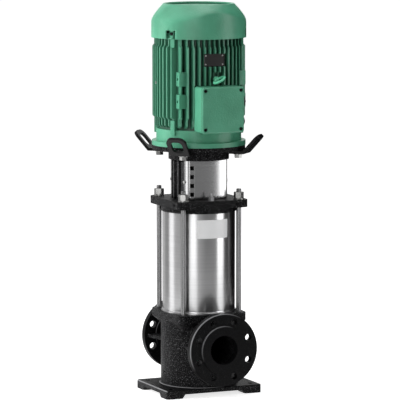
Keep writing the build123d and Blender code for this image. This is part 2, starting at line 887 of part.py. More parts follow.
# The spring is a bellows: a sleeve whose wall runs out and in
bellows_bottom = seal_chamber_floor + shaft_passage_gap
bellows_pitch = (seal_ring_bottom - bellows_bottom) / spring_turns
with BuildPart() as seal_spring:
    with BuildSketch(Plane.XZ):
        with BuildLine():
            wall = [(shaft_radius, bellows_bottom), (spring_diameter / 2, bellows_bottom)]
            for number in range(spring_turns):
                fold = bellows_bottom + (number + 0.5) * bellows_pitch
                wall.append((shaft_radius + bellows_wall, fold))
                wall.append((spring_diameter / 2, fold + bellows_pitch / 2))
            wall.append((shaft_radius, seal_ring_bottom))
            Polyline(*wall, close=True)
        make_face()
    revolve(axis=Axis.Z)
save(seal_spring, "seal_spring")

# Lantern: square plate over the sleeve, two ribbed legs, neck ring and the flange that carries the motor
with BuildPart() as lantern:
    extrude(
        bowed_square(lantern_side_reach, lantern_corner_reach, lantern_corner_radius, lantern_plate_bottom),
        amount=lantern_plate_thickness,
    )
    ring(
        sleeve_radius + sleeve_seat_gap + lantern_skirt_wall,
        sleeve_radius + sleeve_seat_gap,
        lantern_plate_bottom - lantern_skirt_height,
        lantern_plate_bottom,
    )
    with BuildSketch(Plane.XY.offset(lantern_plate_bottom)):
        Circle(head_boss_diameter / 2 + sleeve_seat_gap)
    extrude(amount=lantern_plate_thickness, mode=Mode.SUBTRACT)
    for leg_direction in (0, 180):
        with BuildSketch(Plane.XY.offset(lantern_plate_top)):
            add(ring_sector(leg_inner_radius, leg_outer_radius, leg_direction, leg_half_angle))
            for angle in leg_rib_angles:
                add(
                    ring_sector(
                        leg_outer_radius - 1,
                        leg_outer_radius + leg_rib_reach,
                        leg_direction + angle,
                        leg_rib_half_angle,
                    )
                )
            for angle in (-leg_half_angle + leg_pad_half_angle, leg_half_angle - leg_pad_half_angle):
                add(
                    ring_sector(
                        leg_outer_radius - 1,
                        leg_outer_radius + leg_pad_reach,
                        leg_direction + angle,
                        leg_pad_half_angle,
                    )
                )
        extrude(amount=neck_bottom - lantern_plate_top)
    ring(neck_diameter / 2, neck_bore / 2 - 2, neck_bottom, lantern_flange_bottom)
    ring(lantern_flange_diameter / 2, neck_bore / 2 - 2, lantern_flange_bottom, lantern_flange_top)
    with BuildSketch(Plane.XY.offset(lantern_flange_top - motor_spigot_depth)):
        Circle(motor_spigot_diameter / 2)
    extrude(amount=motor_spigot_depth, mode=Mode.SUBTRACT)
    with BuildSketch(Plane.XY.offset(lantern_flange_bottom)):
        with PolarLocations(motor_bolt_radius, 4, start_angle=45):
            Circle(motor_bolt_diameter / 2 + motor_bolt_gap)
    extrude(amount=lantern_flange_thickness, mode=Mode.SUBTRACT)
    with BuildSketch(Plane.XY.offset(lantern_plate_bottom)):
        with PolarLocations(tie_radius, 4, start_angle=45):
            Circle(tie_rod_diameter / 2 + tie_rod_hole_gap)
    extrude(amount=lantern_plate_thickness, mode=Mode.SUBTRACT)
    vent_foot = Plane(origin=(vent_x, vent_y, lantern_plate_top - plug_depth))
    with BuildSketch(vent_foot):
        Circle(vent_bore / 2 + vent_bore / 4)
    extrude(amount=plug_depth, mode=Mode.SUBTRACT)
    plug_middle = lantern_plate_bottom + lantern_plate_thickness / 2
    left_plug = Plane(
        origin=(-lantern_side_reach + plug_depth, left_plate_plug_y, plug_middle),
        x_dir=(0, 1, 0),
        z_dir=(-1, 0, 0),
    )
    front_plug = Plane(
        origin=(front_plate_plug_x, -lantern_side_reach + plug_depth, plug_middle),
        x_dir=(1, 0, 0),
        z_dir=(0, -1, 0),
    )
    for plug_plane in (left_plug, front_plug):
        with BuildSketch(plug_plane):
            Circle(plug_diameter / 2)
        extrude(amount=2 * plug_depth, mode=Mode.SUBTRACT)
save(lantern, "lantern")

with BuildPart() as plate_plugs:
    for plug_plane in (left_plug, front_plug):
        with BuildSketch(plug_plane):
            Circle(plug_diameter / 2)
        extrude(amount=plug_depth - plate_plug_inset)
        with BuildSketch(plug_plane.offset(plug_depth / 2)):
            RegularPolygon(plug_socket / 2, 6, major_radius=False)
        extrude(amount=plug_depth, mode=Mode.SUBTRACT)
save(plate_plugs, "plate_plugs")

# Vent plug with a shank in the lantern plate, and the small screw that turns in it
vent_top = lantern_plate_top + vent_body_height
with BuildPart() as vent_plug:
    with BuildSketch(vent_foot):
        Circle(vent_bore / 2 + vent_bore / 4)
    extrude(amount=plug_depth)
    with BuildSketch(Plane(origin=(vent_x, vent_y, lantern_plate_top))):
        RegularPolygon(vent_flats / 2, 6, major_radius=False)
    extrude(amount=vent_body_height)
    with BuildSketch(Plane(origin=(vent_x, vent_y, vent_top - vent_bore_depth))):
        Circle(vent_bore / 2)
    extrude(amount=vent_bore_depth, mode=Mode.SUBTRACT)
save(vent_plug, "vent_plug")

with BuildPart() as vent_screw:
    with BuildSketch(Plane(origin=(vent_x, vent_y, vent_top - vent_bore_depth + vent_screw_gap))):
        Circle(vent_bore / 2 - vent_screw_gap)
    extrude(amount=vent_bore_depth)
    with BuildSketch(Plane(origin=(vent_x, vent_y, vent_top + vent_screw_gap))):
        RegularPolygon(vent_screw_head / 2, 6, major_radius=False)
    extrude(amount=vent_screw_head_height)
    with BuildSketch(Plane(origin=(vent_x, vent_y, vent_top + vent_screw_gap + vent_screw_head_height))):
        Circle(vent_tip_diameter / 2)
    extrude(amount=vent_tip_height)
save(vent_screw, "vent_screw")

# Tie rods from the collar to above the lantern plate, with washers and nuts
with BuildPart() as tie_rods:
    with BuildSketch(Plane.XY.offset(collar_top - tie_rod_depth)):
        with PolarLocations(tie_radius, 4, start_angle=45):
            Circle(tie_rod_diameter / 2)
    extrude(amount=tie_rod_tip - collar_top + tie_rod_depth)
    chamfer(tie_rods.edges().group_by(Axis.Z)[-1], 1)
save(tie_rods, "tie_rods")

with BuildPart() as tie_rod_washers:
    with BuildSketch(Plane.XY.offset(lantern_plate_top)):
        with PolarLocations(tie_radius, 4, start_angle=45):
            Circle(rod_washer_diameter / 2)
            Circle(tie_rod_diameter / 2, mode=Mode.SUBTRACT)
    extrude(amount=rod_washer_thickness)
save(tie_rod_washers, "tie_rod_washers")

with BuildPart() as tie_rod_nuts:
    with BuildSketch(Plane.XY.offset(lantern_plate_top + rod_washer_thickness)):
        with PolarLocations(tie_radius, 4, start_angle=45):
            RegularPolygon(rod_nut_flats / 2, 6, major_radius=False)
            Circle(tie_rod_diameter / 2, mode=Mode.SUBTRACT)
    extrude(amount=rod_nut_height)
save(tie_rod_nuts, "tie_rod_nuts")


def guard_sheet(facing):
    """Curved guard sheet with a flat lip bent inwards along each edge, centred on the facing direction."""
    outer = guard_diameter / 2
    inner = outer - guard_thickness
    lip_inner = guard_lip_radius - guard_thickness
    with BuildSketch(Plane.XY.offset(guard_bottom)) as sheet:
        add(ring_sector(inner, outer, facing, guard_arc_half_angle))
        for turn in (-1, 1):
            bend = facing + turn * guard_arc_half_angle
            edge = facing + turn * guard_lip_half_angle
            with BuildLine():
                Polyline(
                    polar(inner, bend),
                    polar(outer, bend),
                    polar(guard_lip_radius, edge),
                    polar(lip_inner, edge),
                    close=True,
                )
            make_face()
    extrude(sheet.sketch, amount=guard_top - guard_bottom)
    for turn in (-1, 1):
        with BuildSketch(guard_screw_plane(facing, turn)) as screw_hole:
            Circle(guard_screw_shank / 2 + eye_running_gap)
        extrude(screw_hole.sketch, amount=2 * guard_thickness, both=True, mode=Mode.SUBTRACT)


def guard_screw_plane(facing, turn):
    """Plane on the outside of a guard lip, at the screw, facing outwards."""
    bend = polar(guard_diameter / 2, facing + turn * guard_arc_half_angle)
    edge = polar(guard_lip_radius, facing + turn * guard_lip_half_angle)
    x = bend[0] + guard_screw_lip_share * (edge[0] - bend[0])
    y = bend[1] + guard_screw_lip_share * (edge[1] - bend[1])
    normal = (turn * (edge[1] - bend[1]), -turn * (edge[0] - bend[0]), 0)
    return Plane(origin=(x, y, guard_screw_height), x_dir=(0, 0, 1), z_dir=normal)


# Coupling guards: the front one has a column of square holes near one edge
with BuildPart() as coupling_guard_front:
    guard_sheet(-90)
    guard_middle = (guard_bottom + guard_top) / 2
    with BuildSketch(side_plane(-90 - guard_hole_angle, neck_bore / 2, guard_middle)):
        with GridLocations(guard_hole_size, guard_hole_pitch, 1, guard_hole_count):
            Rectangle(guard_hole_size, guard_hole_size)
    extrude(amount=neck_bore / 2, mode=Mode.SUBTRACT)
save(coupling_guard_front, "coupling_guard_front")

with BuildPart() as coupling_guard_rear:
    guard_sheet(90)
save(coupling_guard_rear, "coupling_guard_rear")

with BuildPart() as guard_screws:
    for facing in (-90, 90):
        for turn in (-1, 1):
            screw_plane = guard_screw_plane(facing, turn)
            with BuildSketch(screw_plane):
                RegularPolygon(guard_screw_diameter / 2, 6, major_radius=False)
            extrude(amount=guard_screw_head_height)
            with BuildSketch(screw_plane):
                Circle(guard_screw_shank / 2)
            extrude(amount=-guard_thickness)
save(guard_screws, "guard_screws")

# Split shaft coupling, its two halves bolted over both shaft ends
motor_shaft_radius = motor_shaft_diameter / 2
bolt_heights = (coupling_bottom + coupling_bolt_inset, coupling_top - coupling_bolt_inset)
coupling_bolt_places = [
    (side * coupling_bolt_offset, height) for side in (-1, 1) for height in bolt_heights
]
with BuildPart() as coupling_halves:
    ring(coupling_diameter / 2, shaft_radius, coupling_bottom, shafts_meet)
    ring(coupling_diameter / 2, motor_shaft_radius, shafts_meet, coupling_top)
    with BuildSketch(Plane.XY.offset(coupling_bottom)):
        Rectangle(coupling_diameter + 2, coupling_split)
    extrude(amount=coupling_length, mode=Mode.SUBTRACT)
    with BuildSketch(Plane.XZ):
        with Locations(coupling_bolt_places):
            Circle(coupling_bolt_diameter / 2)
    extrude(amount=coupling_diameter / 2, both=True, mode=Mode.SUBTRACT)
    for y_sign in (-1, 1):
        with BuildSketch(Plane.XZ.offset(y_sign * coupling_bolt_seat)):
            with Locations(coupling_bolt_places):
                Rectangle(coupling_bolt_head + 2, coupling_bolt_head + 2)
        extrude(amount=y_sign * coupling_diameter / 2, mode=Mode.SUBTRACT)
save(coupling_halves, "coupling_halves")

with BuildPart() as coupling_bolts:
    with BuildSketch(Plane.XZ):
        with Locations(coupling_bolt_places):
            Circle(coupling_bolt_diameter / 2)
    extrude(amount=coupling_bolt_seat, both=True)
    for y_sign in (-1, 1):
        with BuildSketch(Plane.XZ.offset(y_sign * coupling_bolt_seat)):
            with Locations(coupling_bolt_places):
                RegularPolygon(coupling_bolt_head / 2 * hexagon, 6, major_radius=False)
        extrude(amount=y_sign * coupling_bolt_head_height)
save(coupling_bolts, "coupling_bolts")

# Lifting lug: a strap whose foot is clamped under the lantern flange, bent up and pierced by an eye
lug_rise = radians(lug_slope)
lug_tip = (lug_bend_radius + lug_length * cos(lug_rise), lantern_flange_bottom + lug_length * sin(lug_rise))
with BuildPart() as one_lug:
    with BuildSketch(Plane.XZ):
        with BuildLine():
            Polyline(
                (lug_foot_inner_radius, lantern_flange_bottom),
                (lug_bend_radius, lantern_flange_bottom),
                lug_tip,
                (lug_tip[0] + lug_thickness * sin(lug_rise), lug_tip[1] - lug_thickness * cos(lug_rise)),
                (
                    lug_bend_radius + lug_thickness * tan(lug_rise / 2),
                    lantern_flange_bottom - lug_thickness,
                ),
                (lug_foot_inner_radius, lantern_flange_bottom - lug_thickness),
                close=True,
            )
        make_face()
    extrude(amount=lug_width / 2, both=True)
    tip_face = one_lug.faces().sort_by(Axis.X)[-1]
    fillet(tip_face.edges().filter_by(Axis.Y, reverse=True), lug_corner_radius)
    with BuildSketch(Plane.XY.offset(lantern_flange_bottom - lug_thickness)):
        with Locations((motor_bolt_radius, 0)):
            Circle(motor_bolt_diameter / 2 + motor_bolt_gap)
    extrude(amount=lug_thickness, mode=Mode.SUBTRACT)
    eye_distance = lug_length - lug_eye_rim - lug_eye_length / 2
    eye_centre = (
        lug_bend_radius + eye_distance * cos(lug_rise),
        0,
        lantern_flange_bottom + eye_distance * sin(lug_rise),
    )
    eye_plane = Plane(origin=eye_centre, x_dir=(0, 1, 0), z_dir=(-sin(lug_rise), 0, cos(lug_rise)))
    with BuildSketch(eye_plane):
        RectangleRounded(lug_eye_width, lug_eye_length, lug_eye_corner_radius)
    extrude(amount=2 * lug_thickness, both=True, mode=Mode.SUBTRACT)

with BuildPart() as lifting_lugs:
    with PolarLocations(0, 4, start_angle=45):
        add(one_lug.part)
save(lifting_lugs, "lifting_lugs")

# Motor bolts with a collar under the head: heads under the lug feet, shanks through the lantern flange
# into the motor flange
bolt_head_top = lantern_flange_bottom - lug_thickness
with BuildPart() as motor_bolts:
    with BuildSketch(Plane.XY.offset(bolt_head_top - motor_bolt_head_height)):
        with PolarLocations(motor_bolt_radius, 4, start_angle=45):
            RegularPolygon(motor_bolt_flats / 2, 6, major_radius=False)
    extrude(amount=motor_bolt_head_height)
    with BuildSketch(Plane.XY.offset(bolt_head_top - motor_bolt_collar_height)):
        with PolarLocations(motor_bolt_radius, 4, start_angle=45):
            Circle(motor_bolt_collar_diameter / 2)
    extrude(amount=motor_bolt_collar_height)
    with BuildSketch(Plane.XY.offset(bolt_head_top)):
        with PolarLocations(motor_bolt_radius, 4, start_angle=45):
            Circle(motor_bolt_diameter / 2)
    extrude(amount=motor_flange_top - motor_bolt_end_wall - bolt_head_top)
save(motor_bolts, "motor_bolts")

# Drive end shield: motor flange, spigot, bearing hub and the bell that carries the frame
shield_radius = drive_shield_diameter / 2
shaft_passage = bearing_bore / 2 + shaft_passage_gap
hub_outer = bearing_outside / 2 + bearing_hub_wall
spigot_radius = frame_bore_radius - shield_spigot_gap
spigot_bore = spigot_radius - shield_spigot_wall
shield_floor = motor_flange_top + shield_floor_thickness
with BuildPart() as drive_end_shield:
    with BuildSketch(Plane.XZ):
        with BuildLine():
            Polyline(
                (shaft_passage, lantern_flange_top - motor_spigot_depth + motor_spigot_gap),
                (
                    motor_spigot_diameter / 2 - motor_spigot_gap,
                    lantern_flange_top - motor_spigot_depth + motor_spigot_gap,
                ),
                (motor_spigot_diameter / 2 - motor_spigot_gap, lantern_flange_top),
                (motor_flange_diameter / 2, lantern_flange_top),
                (motor_flange_diameter / 2, motor_flange_top),
                (shield_radius, motor_flange_top),
                (shield_radius, drive_shield_top),
                (spigot_radius, drive_shield_top),
                (spigot_radius, drive_shield_top + shield_spigot_length),
                (spigot_bore, drive_shield_top + shield_spigot_length),
                (spigot_bore, shield_floor),
                (hub_outer, shield_floor),
                (hub_outer, drive_bearing_bottom + bearing_width),
                (bearing_outside / 2, drive_bearing_bottom + bearing_width),
                (bearing_outside / 2, drive_bearing_bottom),
                (shaft_passage, drive_bearing_bottom),
                close=True,
            )
        make_face()
    revolve(axis=Axis.Z)
    for ear in (ear_direction, 180 - ear_direction, 180 + ear_direction, -ear_direction):
        with BuildSketch(side_plane(ear, frame_radius + ear_gap, drive_shield_top - ear_width)):
            with Locations((0, (lower_ear_top - drive_shield_top + ear_width) / 2)):
                Rectangle(ear_width, lower_ear_top - drive_shield_top + ear_width)
        extrude(amount=ear_reach - frame_radius - ear_gap)
    with BuildSketch(Plane.XY.offset(lantern_flange_top)):
        with PolarLocations(motor_bolt_radius, 4, start_angle=45):
            Circle(motor_bolt_diameter / 2 + motor_bolt_gap)
    extrude(amount=motor_flange_thickness - motor_bolt_end_wall, mode=Mode.SUBTRACT)
    with BuildSketch(Plane.XY.offset(box_bottom - box_margin)):
        with Locations((0, -box_back - shield_radius / 2)):
            Rectangle(box_width + 2 * box_margin, shield_radius)
    extrude(amount=box_height, mode=Mode.SUBTRACT)
save(drive_end_shield, "drive_end_shield")

# Motor frame: a barrel with parallel fins on four sides, corner walls and mounting pads
with BuildPart() as motor_frame:
    fin_bottom = drive_shield_top + fin_bottom_gap
    fin_root = frame_bore_radius + frame_wall / 2
    with BuildSketch(Plane.XY.offset(fin_bottom)):
        for number in range(fins_per_side_y):
            offset_x = (number + 0.5) * fin_pitch
            for x_sign in (-1, 1):
                with Locations((x_sign * offset_x, 0)):
                    Rectangle(fin_thickness, fin_reach_diameter)
        for number in range(fins_per_side_x):
            offset_y = (number + 0.5) * fin_pitch
            for y_sign in (-1, 1):
                with Locations((0, y_sign * offset_y)):
                    Rectangle(fin_reach_diameter, fin_thickness)
        for x_sign in (-1, 1):
            with Locations((x_sign * corner_wall_x, 0)):
                Rectangle(corner_wall_thickness, 2 * corner_wall_reach)
        Circle(fin_root, mode=Mode.SUBTRACT)
    extrude(amount=motor_frame_top - fin_bottom)
    with BuildSketch(Plane.XZ):
        with BuildLine():
            fin_reach = fin_reach_diameter / 2
            fin_end_reach = fin_end_diameter / 2
            Polyline(
                (0, fin_bottom),
                (fin_end_reach - fin_slope, fin_bottom),
                (fin_end_reach, fin_bottom + fin_slope),
                (fin_end_reach, fin_full_bottom - fin_slope),
                (fin_reach, fin_full_bottom),
                (fin_reach, fin_full_top),
                (fin_end_reach, fin_full_top + fin_slope),
                (fin_end_reach, motor_frame_top),
                (0, motor_frame_top),
                close=True,
            )
        make_face()
    revolve(axis=Axis.Z, mode=Mode.INTERSECT)
    for pad_bottom in pad_bottoms:
        for x_sign, y_sign in corner_signs:
            with BuildSketch(Plane.XY.offset(pad_bottom)):
                with Locations(
                    (x_sign * (pad_face_x - pad_length_x / 2), y_sign * (pad_face_y - pad_length_y / 2))
                ):
                    Rectangle(pad_length_x, pad_length_y)
            extrude(amount=pad_height)
    with BuildSketch(side_plane(-90, fin_root, eye_bolt_height)):
        Circle(eye_boss_diameter / 2)
    extrude(amount=eye_boss_reach - fin_root)
    with BuildSketch(Plane(origin=(-fin_root, earth_y, earth_height), x_dir=(0, -1, 0), z_dir=(-1, 0, 0))):
        Circle(earth_boss_diameter / 2)
    extrude(amount=earth_boss_reach - earth_screw_head - fin_root)
    ring(frame_radius, frame_bore_radius, drive_shield_top, motor_frame_top)
    with BuildSketch(Plane.XY.offset(drive_shield_top)):
        Circle(frame_bore_radius)
    extrude(amount=motor_frame_top - drive_shield_top, mode=Mode.SUBTRACT)
    with BuildSketch(Plane.XY.offset(box_bottom - box_margin)):
        with Locations((0, -(box_back + fin_reach) / 2)):
            Rectangle(box_width + 2 * box_margin, fin_reach - box_back)
    extrude(amount=box_height + 2 * box_margin, mode=Mode.SUBTRACT)
    for ear in (ear_direction, 180 - ear_direction, 180 + ear_direction, -ear_direction):
        for bottom, top in ((drive_shield_top, lower_ear_top), (upper_ear_bottom, motor_frame_top)):
            middle = (bottom + top) / 2
            with BuildSketch(side_plane(ear, frame_radius, middle)):
                Rectangle(ear_width + 2, top - bottom + 2)
            extrude(amount=fin_reach, mode=Mode.SUBTRACT)
    for pad_bottom in pad_bottoms:
        for x_sign, y_sign in corner_signs:
            pad_middle_y = y_sign * (pad_face_y - pad_length_y / 2)
            pad_hole = Plane(
                origin=(x_sign * pad_face_x, pad_middle_y, pad_bottom + pad_height / 2),
                x_dir=(0, x_sign, 0),
                z_dir=(x_sign, 0, 0),
            )
            with BuildSketch(pad_hole):
                Circle(pad_hole_diameter / 2)
            extrude(amount=-pad_hole_depth, mode=Mode.SUBTRACT)
    plate_back = fin_reach * cos(atan2(plate_width / 2 - plate_x, fin_reach)) - fin_slope
    with BuildSketch(Plane.XY.offset(plate_bottom - plate_gap)):
        with Locations((plate_x, -plate_back - fin_reach / 2)):
            Rectangle(plate_width + 2 * plate_gap, fin_reach)
    extrude(amount=plate_height + 2 * plate_gap, mode=Mode.SUBTRACT)
    with BuildSketch(side_plane(-90, eye_boss_reach - pad_hole_depth, eye_bolt_height)):
        Circle(eye_bolt_shank / 2)
    extrude(amount=pad_hole_depth, mode=Mode.SUBTRACT)
    with BuildSketch(side_plane(-90, eye_boss_reach, eye_bolt_height)):
        Circle(eye_bolt_ring_radius + eye_bolt_wire / 2 + eye_bolt_clearance)
    extrude(amount=fin_reach, mode=Mode.SUBTRACT)
save(motor_frame, "motor_frame")

# Plain dark plate on the front fins
with BuildPart() as motor_plate:
    with BuildSketch(Plane.XY.offset(plate_bottom)):
        with Locations((plate_x, -plate_back - plate_thickness / 2)):
            Rectangle(plate_width, plate_thickness)
    extrude(amount=plate_height)
save(motor_plate, "motor_plate")

# Eye bolt above the terminal box: a shank in the boss and a tilted ring
eye_bolt_plane = Plane(
    origin=(0, -eye_bolt_centre, eye_bolt_height),
    x_dir=(0, 1, 0),
    z_dir=(-sin(radians(eye_bolt_tilt)), 0, cos(radians(eye_bolt_tilt))),
)
ring_back = eye_bolt_centre - eye_bolt_ring_radius
with BuildPart() as eye_bolt:
    with BuildSketch(side_plane(-90, eye_boss_reach - pad_hole_depth, eye_bolt_height)):
        Circle(eye_bolt_shank / 2)
    extrude(amount=ring_back - eye_boss_reach + pad_hole_depth)
    profile_plane = Plane(
        origin=eye_bolt_plane.from_local_coords(Vector(eye_bolt_ring_radius, 0, 0)),
        x_dir=eye_bolt_plane.x_dir,
        z_dir=eye_bolt_plane.y_dir,
    )
    with BuildSketch(profile_plane):
        RegularPolygon(eye_bolt_wire / 2, 8, major_radius=False)
    revolve(axis=Axis(eye_bolt_plane.origin, eye_bolt_plane.z_dir))
save(eye_bolt, "eye_bolt")

with BuildPart() as earth_screw:
    earth_seat = Plane(
        origin=(earth_screw_head - earth_boss_reach, earth_y, earth_height),
        x_dir=(0, -1, 0),
        z_dir=(-1, 0, 0),
    )
    with BuildSketch(earth_seat):
        RegularPolygon(earth_screw_diameter / 2, 6, major_radius=False)
    extrude(amount=earth_screw_head)
save(earth_screw, "earth_screw")

# Stator, windings, rotor and shaft
stator_top = stator_bottom + stator_length
with BuildPart() as stator_core:
    ring(stator_diameter / 2, stator_bore / 2, stator_bottom, stator_top)
save(stator_core, "stator_core")

with BuildPart() as windings:
    for bottom in (stator_bottom - winding_height, stator_top):
        ring(winding_outer_radius, winding_inner_radius, bottom, bottom + winding_height)
save(windings, "windings")

rotor_shaft_radius = rotor_shaft_diameter / 2
with BuildPart() as rotor_core:
    ring(stator_bore / 2 - air_gap, rotor_shaft_radius, stator_bottom, stator_top)
save(rotor_core, "rotor_core")

motor_shaft_bottom = shafts_meet + shaft_end_gap / 2
drive_shoulder = drive_bearing_bottom + bearing_width
fan_bearing_top = fan_bearing_bottom + bearing_width
with BuildPart() as motor_shaft:
    with BuildSketch(Plane.XZ):
        with BuildLine():
            Polyline(
                (0, motor_shaft_bottom),
                (motor_shaft_radius, motor_shaft_bottom),
                (motor_shaft_radius, lantern_flange_top),
                (bearing_bore / 2, lantern_flange_top),
                (bearing_bore / 2, drive_shoulder),
                (rotor_shaft_radius, drive_shoulder),
                (rotor_shaft_radius, fan_bearing_bottom),
                (bearing_bore / 2, fan_bearing_bottom),
                (bearing_bore / 2, fan_bearing_top),
                (fan_shaft_diameter / 2, fan_bearing_top),
                (fan_shaft_diameter / 2, motor_shaft_top),
                (0, motor_shaft_top),
                close=True,
            )
        make_face()
    revolve(axis=Axis.Z)
save(motor_shaft, "motor_shaft")

# Shielded ball bearings: outer rings with their shields, and inner rings
bearing_bottoms = (drive_bearing_bottom, fan_bearing_bottom)
inner_ring_radius = bearing_bore / 2 + bearing_ring_thickness
shield_reach = inner_ring_radius + bearing_running_gap
with BuildPart() as bearing_outer_rings:
    outer_ring_radius = bearing_outside / 2
    for bottom in bearing_bottoms:
        top = bottom + bearing_width
        ring(outer_ring_radius, outer_ring_radius - bearing_ring_thickness, bottom, top)
        ring(outer_ring_radius, shield_reach, bottom, bottom + bearing_shield)
        ring(outer_ring_radius, shield_reach, top - bearing_shield, top)
save(bearing_outer_rings, "bearing_outer_rings")

with BuildPart() as bearing_inner_rings:
    for bottom in bearing_bottoms:
        ring(inner_ring_radius, bearing_bore / 2, bottom, bottom + bearing_width)
save(bearing_inner_rings, "bearing_inner_rings")

# Fan end shield with its bearing hub, its spigot and four ears that the cowl is screwed to
with BuildPart() as fan_end_shield:
    with BuildSketch(Plane.XZ):
        with BuildLine():
            shield_top = motor_frame_top + end_shield_thickness
            Polyline(
                (hub_outer, fan_bearing_bottom),
                (hub_outer, motor_frame_top),
                (spigot_bore, motor_frame_top),
                (spigot_bore, motor_frame_top - shield_spigot_length),
                (spigot_radius, motor_frame_top - shield_spigot_length),
                (spigot_radius, motor_frame_top),
                (end_shield_diameter / 2, motor_frame_top),
                (end_shield_diameter / 2, shield_top),
                (shaft_passage, shield_top),
                (shaft_passage, fan_bearing_top),
                (bearing_outside / 2, fan_bearing_top),
                (bearing_outside / 2, fan_bearing_bottom),
                close=True,
            )
        make_face()
    revolve(axis=Axis.Z)
    for ear in (ear_direction, 180 - ear_direction, 180 + ear_direction, -ear_direction):
        with BuildSketch(side_plane(ear, frame_radius + ear_gap, (upper_ear_bottom + upper_ear_top) / 2)):
            Rectangle(ear_width, upper_ear_top - upper_ear_bottom)
        extrude(amount=ear_reach - frame_radius - ear_gap)
save(fan_end_shield, "fan_end_shield")

# Fan with straight blades, so that it cools in both directions of turning
with BuildPart() as fan:
    ring(fan_hub_diameter / 2, fan_shaft_diameter / 2, fan_bottom, fan_bottom + fan_blade_height)
    ring(fan_diameter / 2, fan_shaft_diameter / 2, fan_bottom, fan_bottom + fan_disc_thickness)
    blade_length = (fan_diameter - fan_hub_diameter) / 2
    with BuildSketch(Plane.XY.offset(fan_bottom)):
        with PolarLocations((fan_diameter + fan_hub_diameter) / 4 - fan_blade_overlap, fan_blade_count):
            Rectangle(blade_length, fan_blade_thickness)
    extrude(amount=fan_blade_height)
save(fan, "fan")

# Fan cowl: straight skirt, rounded shoulder, sloping crown and a grille set below the rim
cowl_radius = cowl_diameter / 2
rim_radius = cowl_rim_diameter / 2
grille_top = cowl_top - cowl_grille_drop
with BuildPart() as fan_cowl:
    with BuildSketch(Plane.XZ):
        with BuildLine():
            crown_width = cowl_radius - rim_radius
            crown_height = cowl_top - cowl_shoulder
            outer_bow = (
                cowl_radius - crown_width * cowl_bow_inward_share,
                cowl_shoulder + crown_height * cowl_bow_height_share,
            )
            bow_wall = cowl_wall * cowl_bow_wall_share
            inner_bow = (outer_bow[0] - bow_wall, outer_bow[1] - bow_wall)
            Line((cowl_radius - cowl_wall, cowl_bottom), (cowl_radius, cowl_bottom))
            Line((cowl_radius, cowl_bottom), (cowl_radius, cowl_shoulder))
            ThreePointArc((cowl_radius, cowl_shoulder), outer_bow, (rim_radius, cowl_top))
            Line((rim_radius, cowl_top), (rim_radius - cowl_rim_width, cowl_top))
            Line((rim_radius - cowl_rim_width, cowl_top), (rim_radius - cowl_rim_width, grille_top))
            Line((rim_radius - cowl_rim_width, grille_top), (0, grille_top))
            Line((0, grille_top), (0, grille_top - cowl_wall))
            Line((0, grille_top - cowl_wall), (rim_radius - cowl_wall, grille_top - cowl_wall))
            Line((rim_radius - cowl_wall, grille_top - cowl_wall), inner_bow)
            Line(inner_bow, (cowl_radius - cowl_wall, cowl_shoulder))
            Line((cowl_radius - cowl_wall, cowl_shoulder), (cowl_radius - cowl_wall, cowl_bottom))
        make_face()
    revolve(axis=Axis.Z)
    ring_step = grille_ring_width + grille_slot_width
    slot_rings = int((rim_radius - cowl_rim_width - grille_hub_radius) // ring_step)
    with BuildSketch(Plane.XY.offset(grille_top - cowl_wall)):
        for number in range(slot_rings):
            slot_inner = grille_hub_radius + number * ring_step
            slot_outer = slot_inner + grille_slot_width
            spoke = degrees(grille_spoke_width / 2 / slot_inner)
            for slot in range(grille_slot_count):
                slot_middle = (slot + 0.5) * 360 / grille_slot_count
                add(ring_sector(slot_inner, slot_outer, slot_middle, 180 / grille_slot_count - spoke))
    extrude(amount=cowl_wall, mode=Mode.SUBTRACT)
    notch_middle = (notch_bottom + notch_top) / 2
    notch_height = notch_top - notch_bottom
    tab_inner = ear_reach + notch_tab_gap
    for ear in (ear_direction, 180 - ear_direction, 180 + ear_direction, -ear_direction):
        with BuildSketch(side_plane(ear, tab_inner, notch_middle)):
            Rectangle(notch_width + 2 * cowl_wall, notch_height + 2 * cowl_wall)
        notch_half_turn = atan2(notch_width / 2 + cowl_wall, cowl_radius)
        extrude(amount=cowl_radius * cos(notch_half_turn) - tab_inner - notch_cut_gap)
        with BuildSketch(side_plane(ear, tab_inner + cowl_wall, notch_middle)):
            Rectangle(notch_width, notch_height)
        extrude(amount=cowl_radius, mode=Mode.SUBTRACT)
        with BuildSketch(side_plane(ear, ear_reach, cowl_screw_height)):
            Circle(cowl_screw_shank / 2 + eye_running_gap)
        extrude(amount=cowl_radius, mode=Mode.SUBTRACT)
save(fan_cowl, "fan_cowl")

with BuildPart() as cowl_screws:
    for ear in (ear_direction, 180 - ear_direction, 180 + ear_direction, -ear_direction):
        with BuildSketch(side_plane(ear, ear_reach, cowl_screw_height)):
            Circle(cowl_screw_shank / 2)
        extrude(amount=notch_tab_gap + cowl_wall)
        with BuildSketch(side_plane(ear, tab_inner + cowl_wall, cowl_screw_height)):
            RegularPolygon(cowl_screw_head / 2, 6, major_radius=False)
        extrude(amount=cowl_screw_head_height)
save(cowl_screws, "cowl_screws")

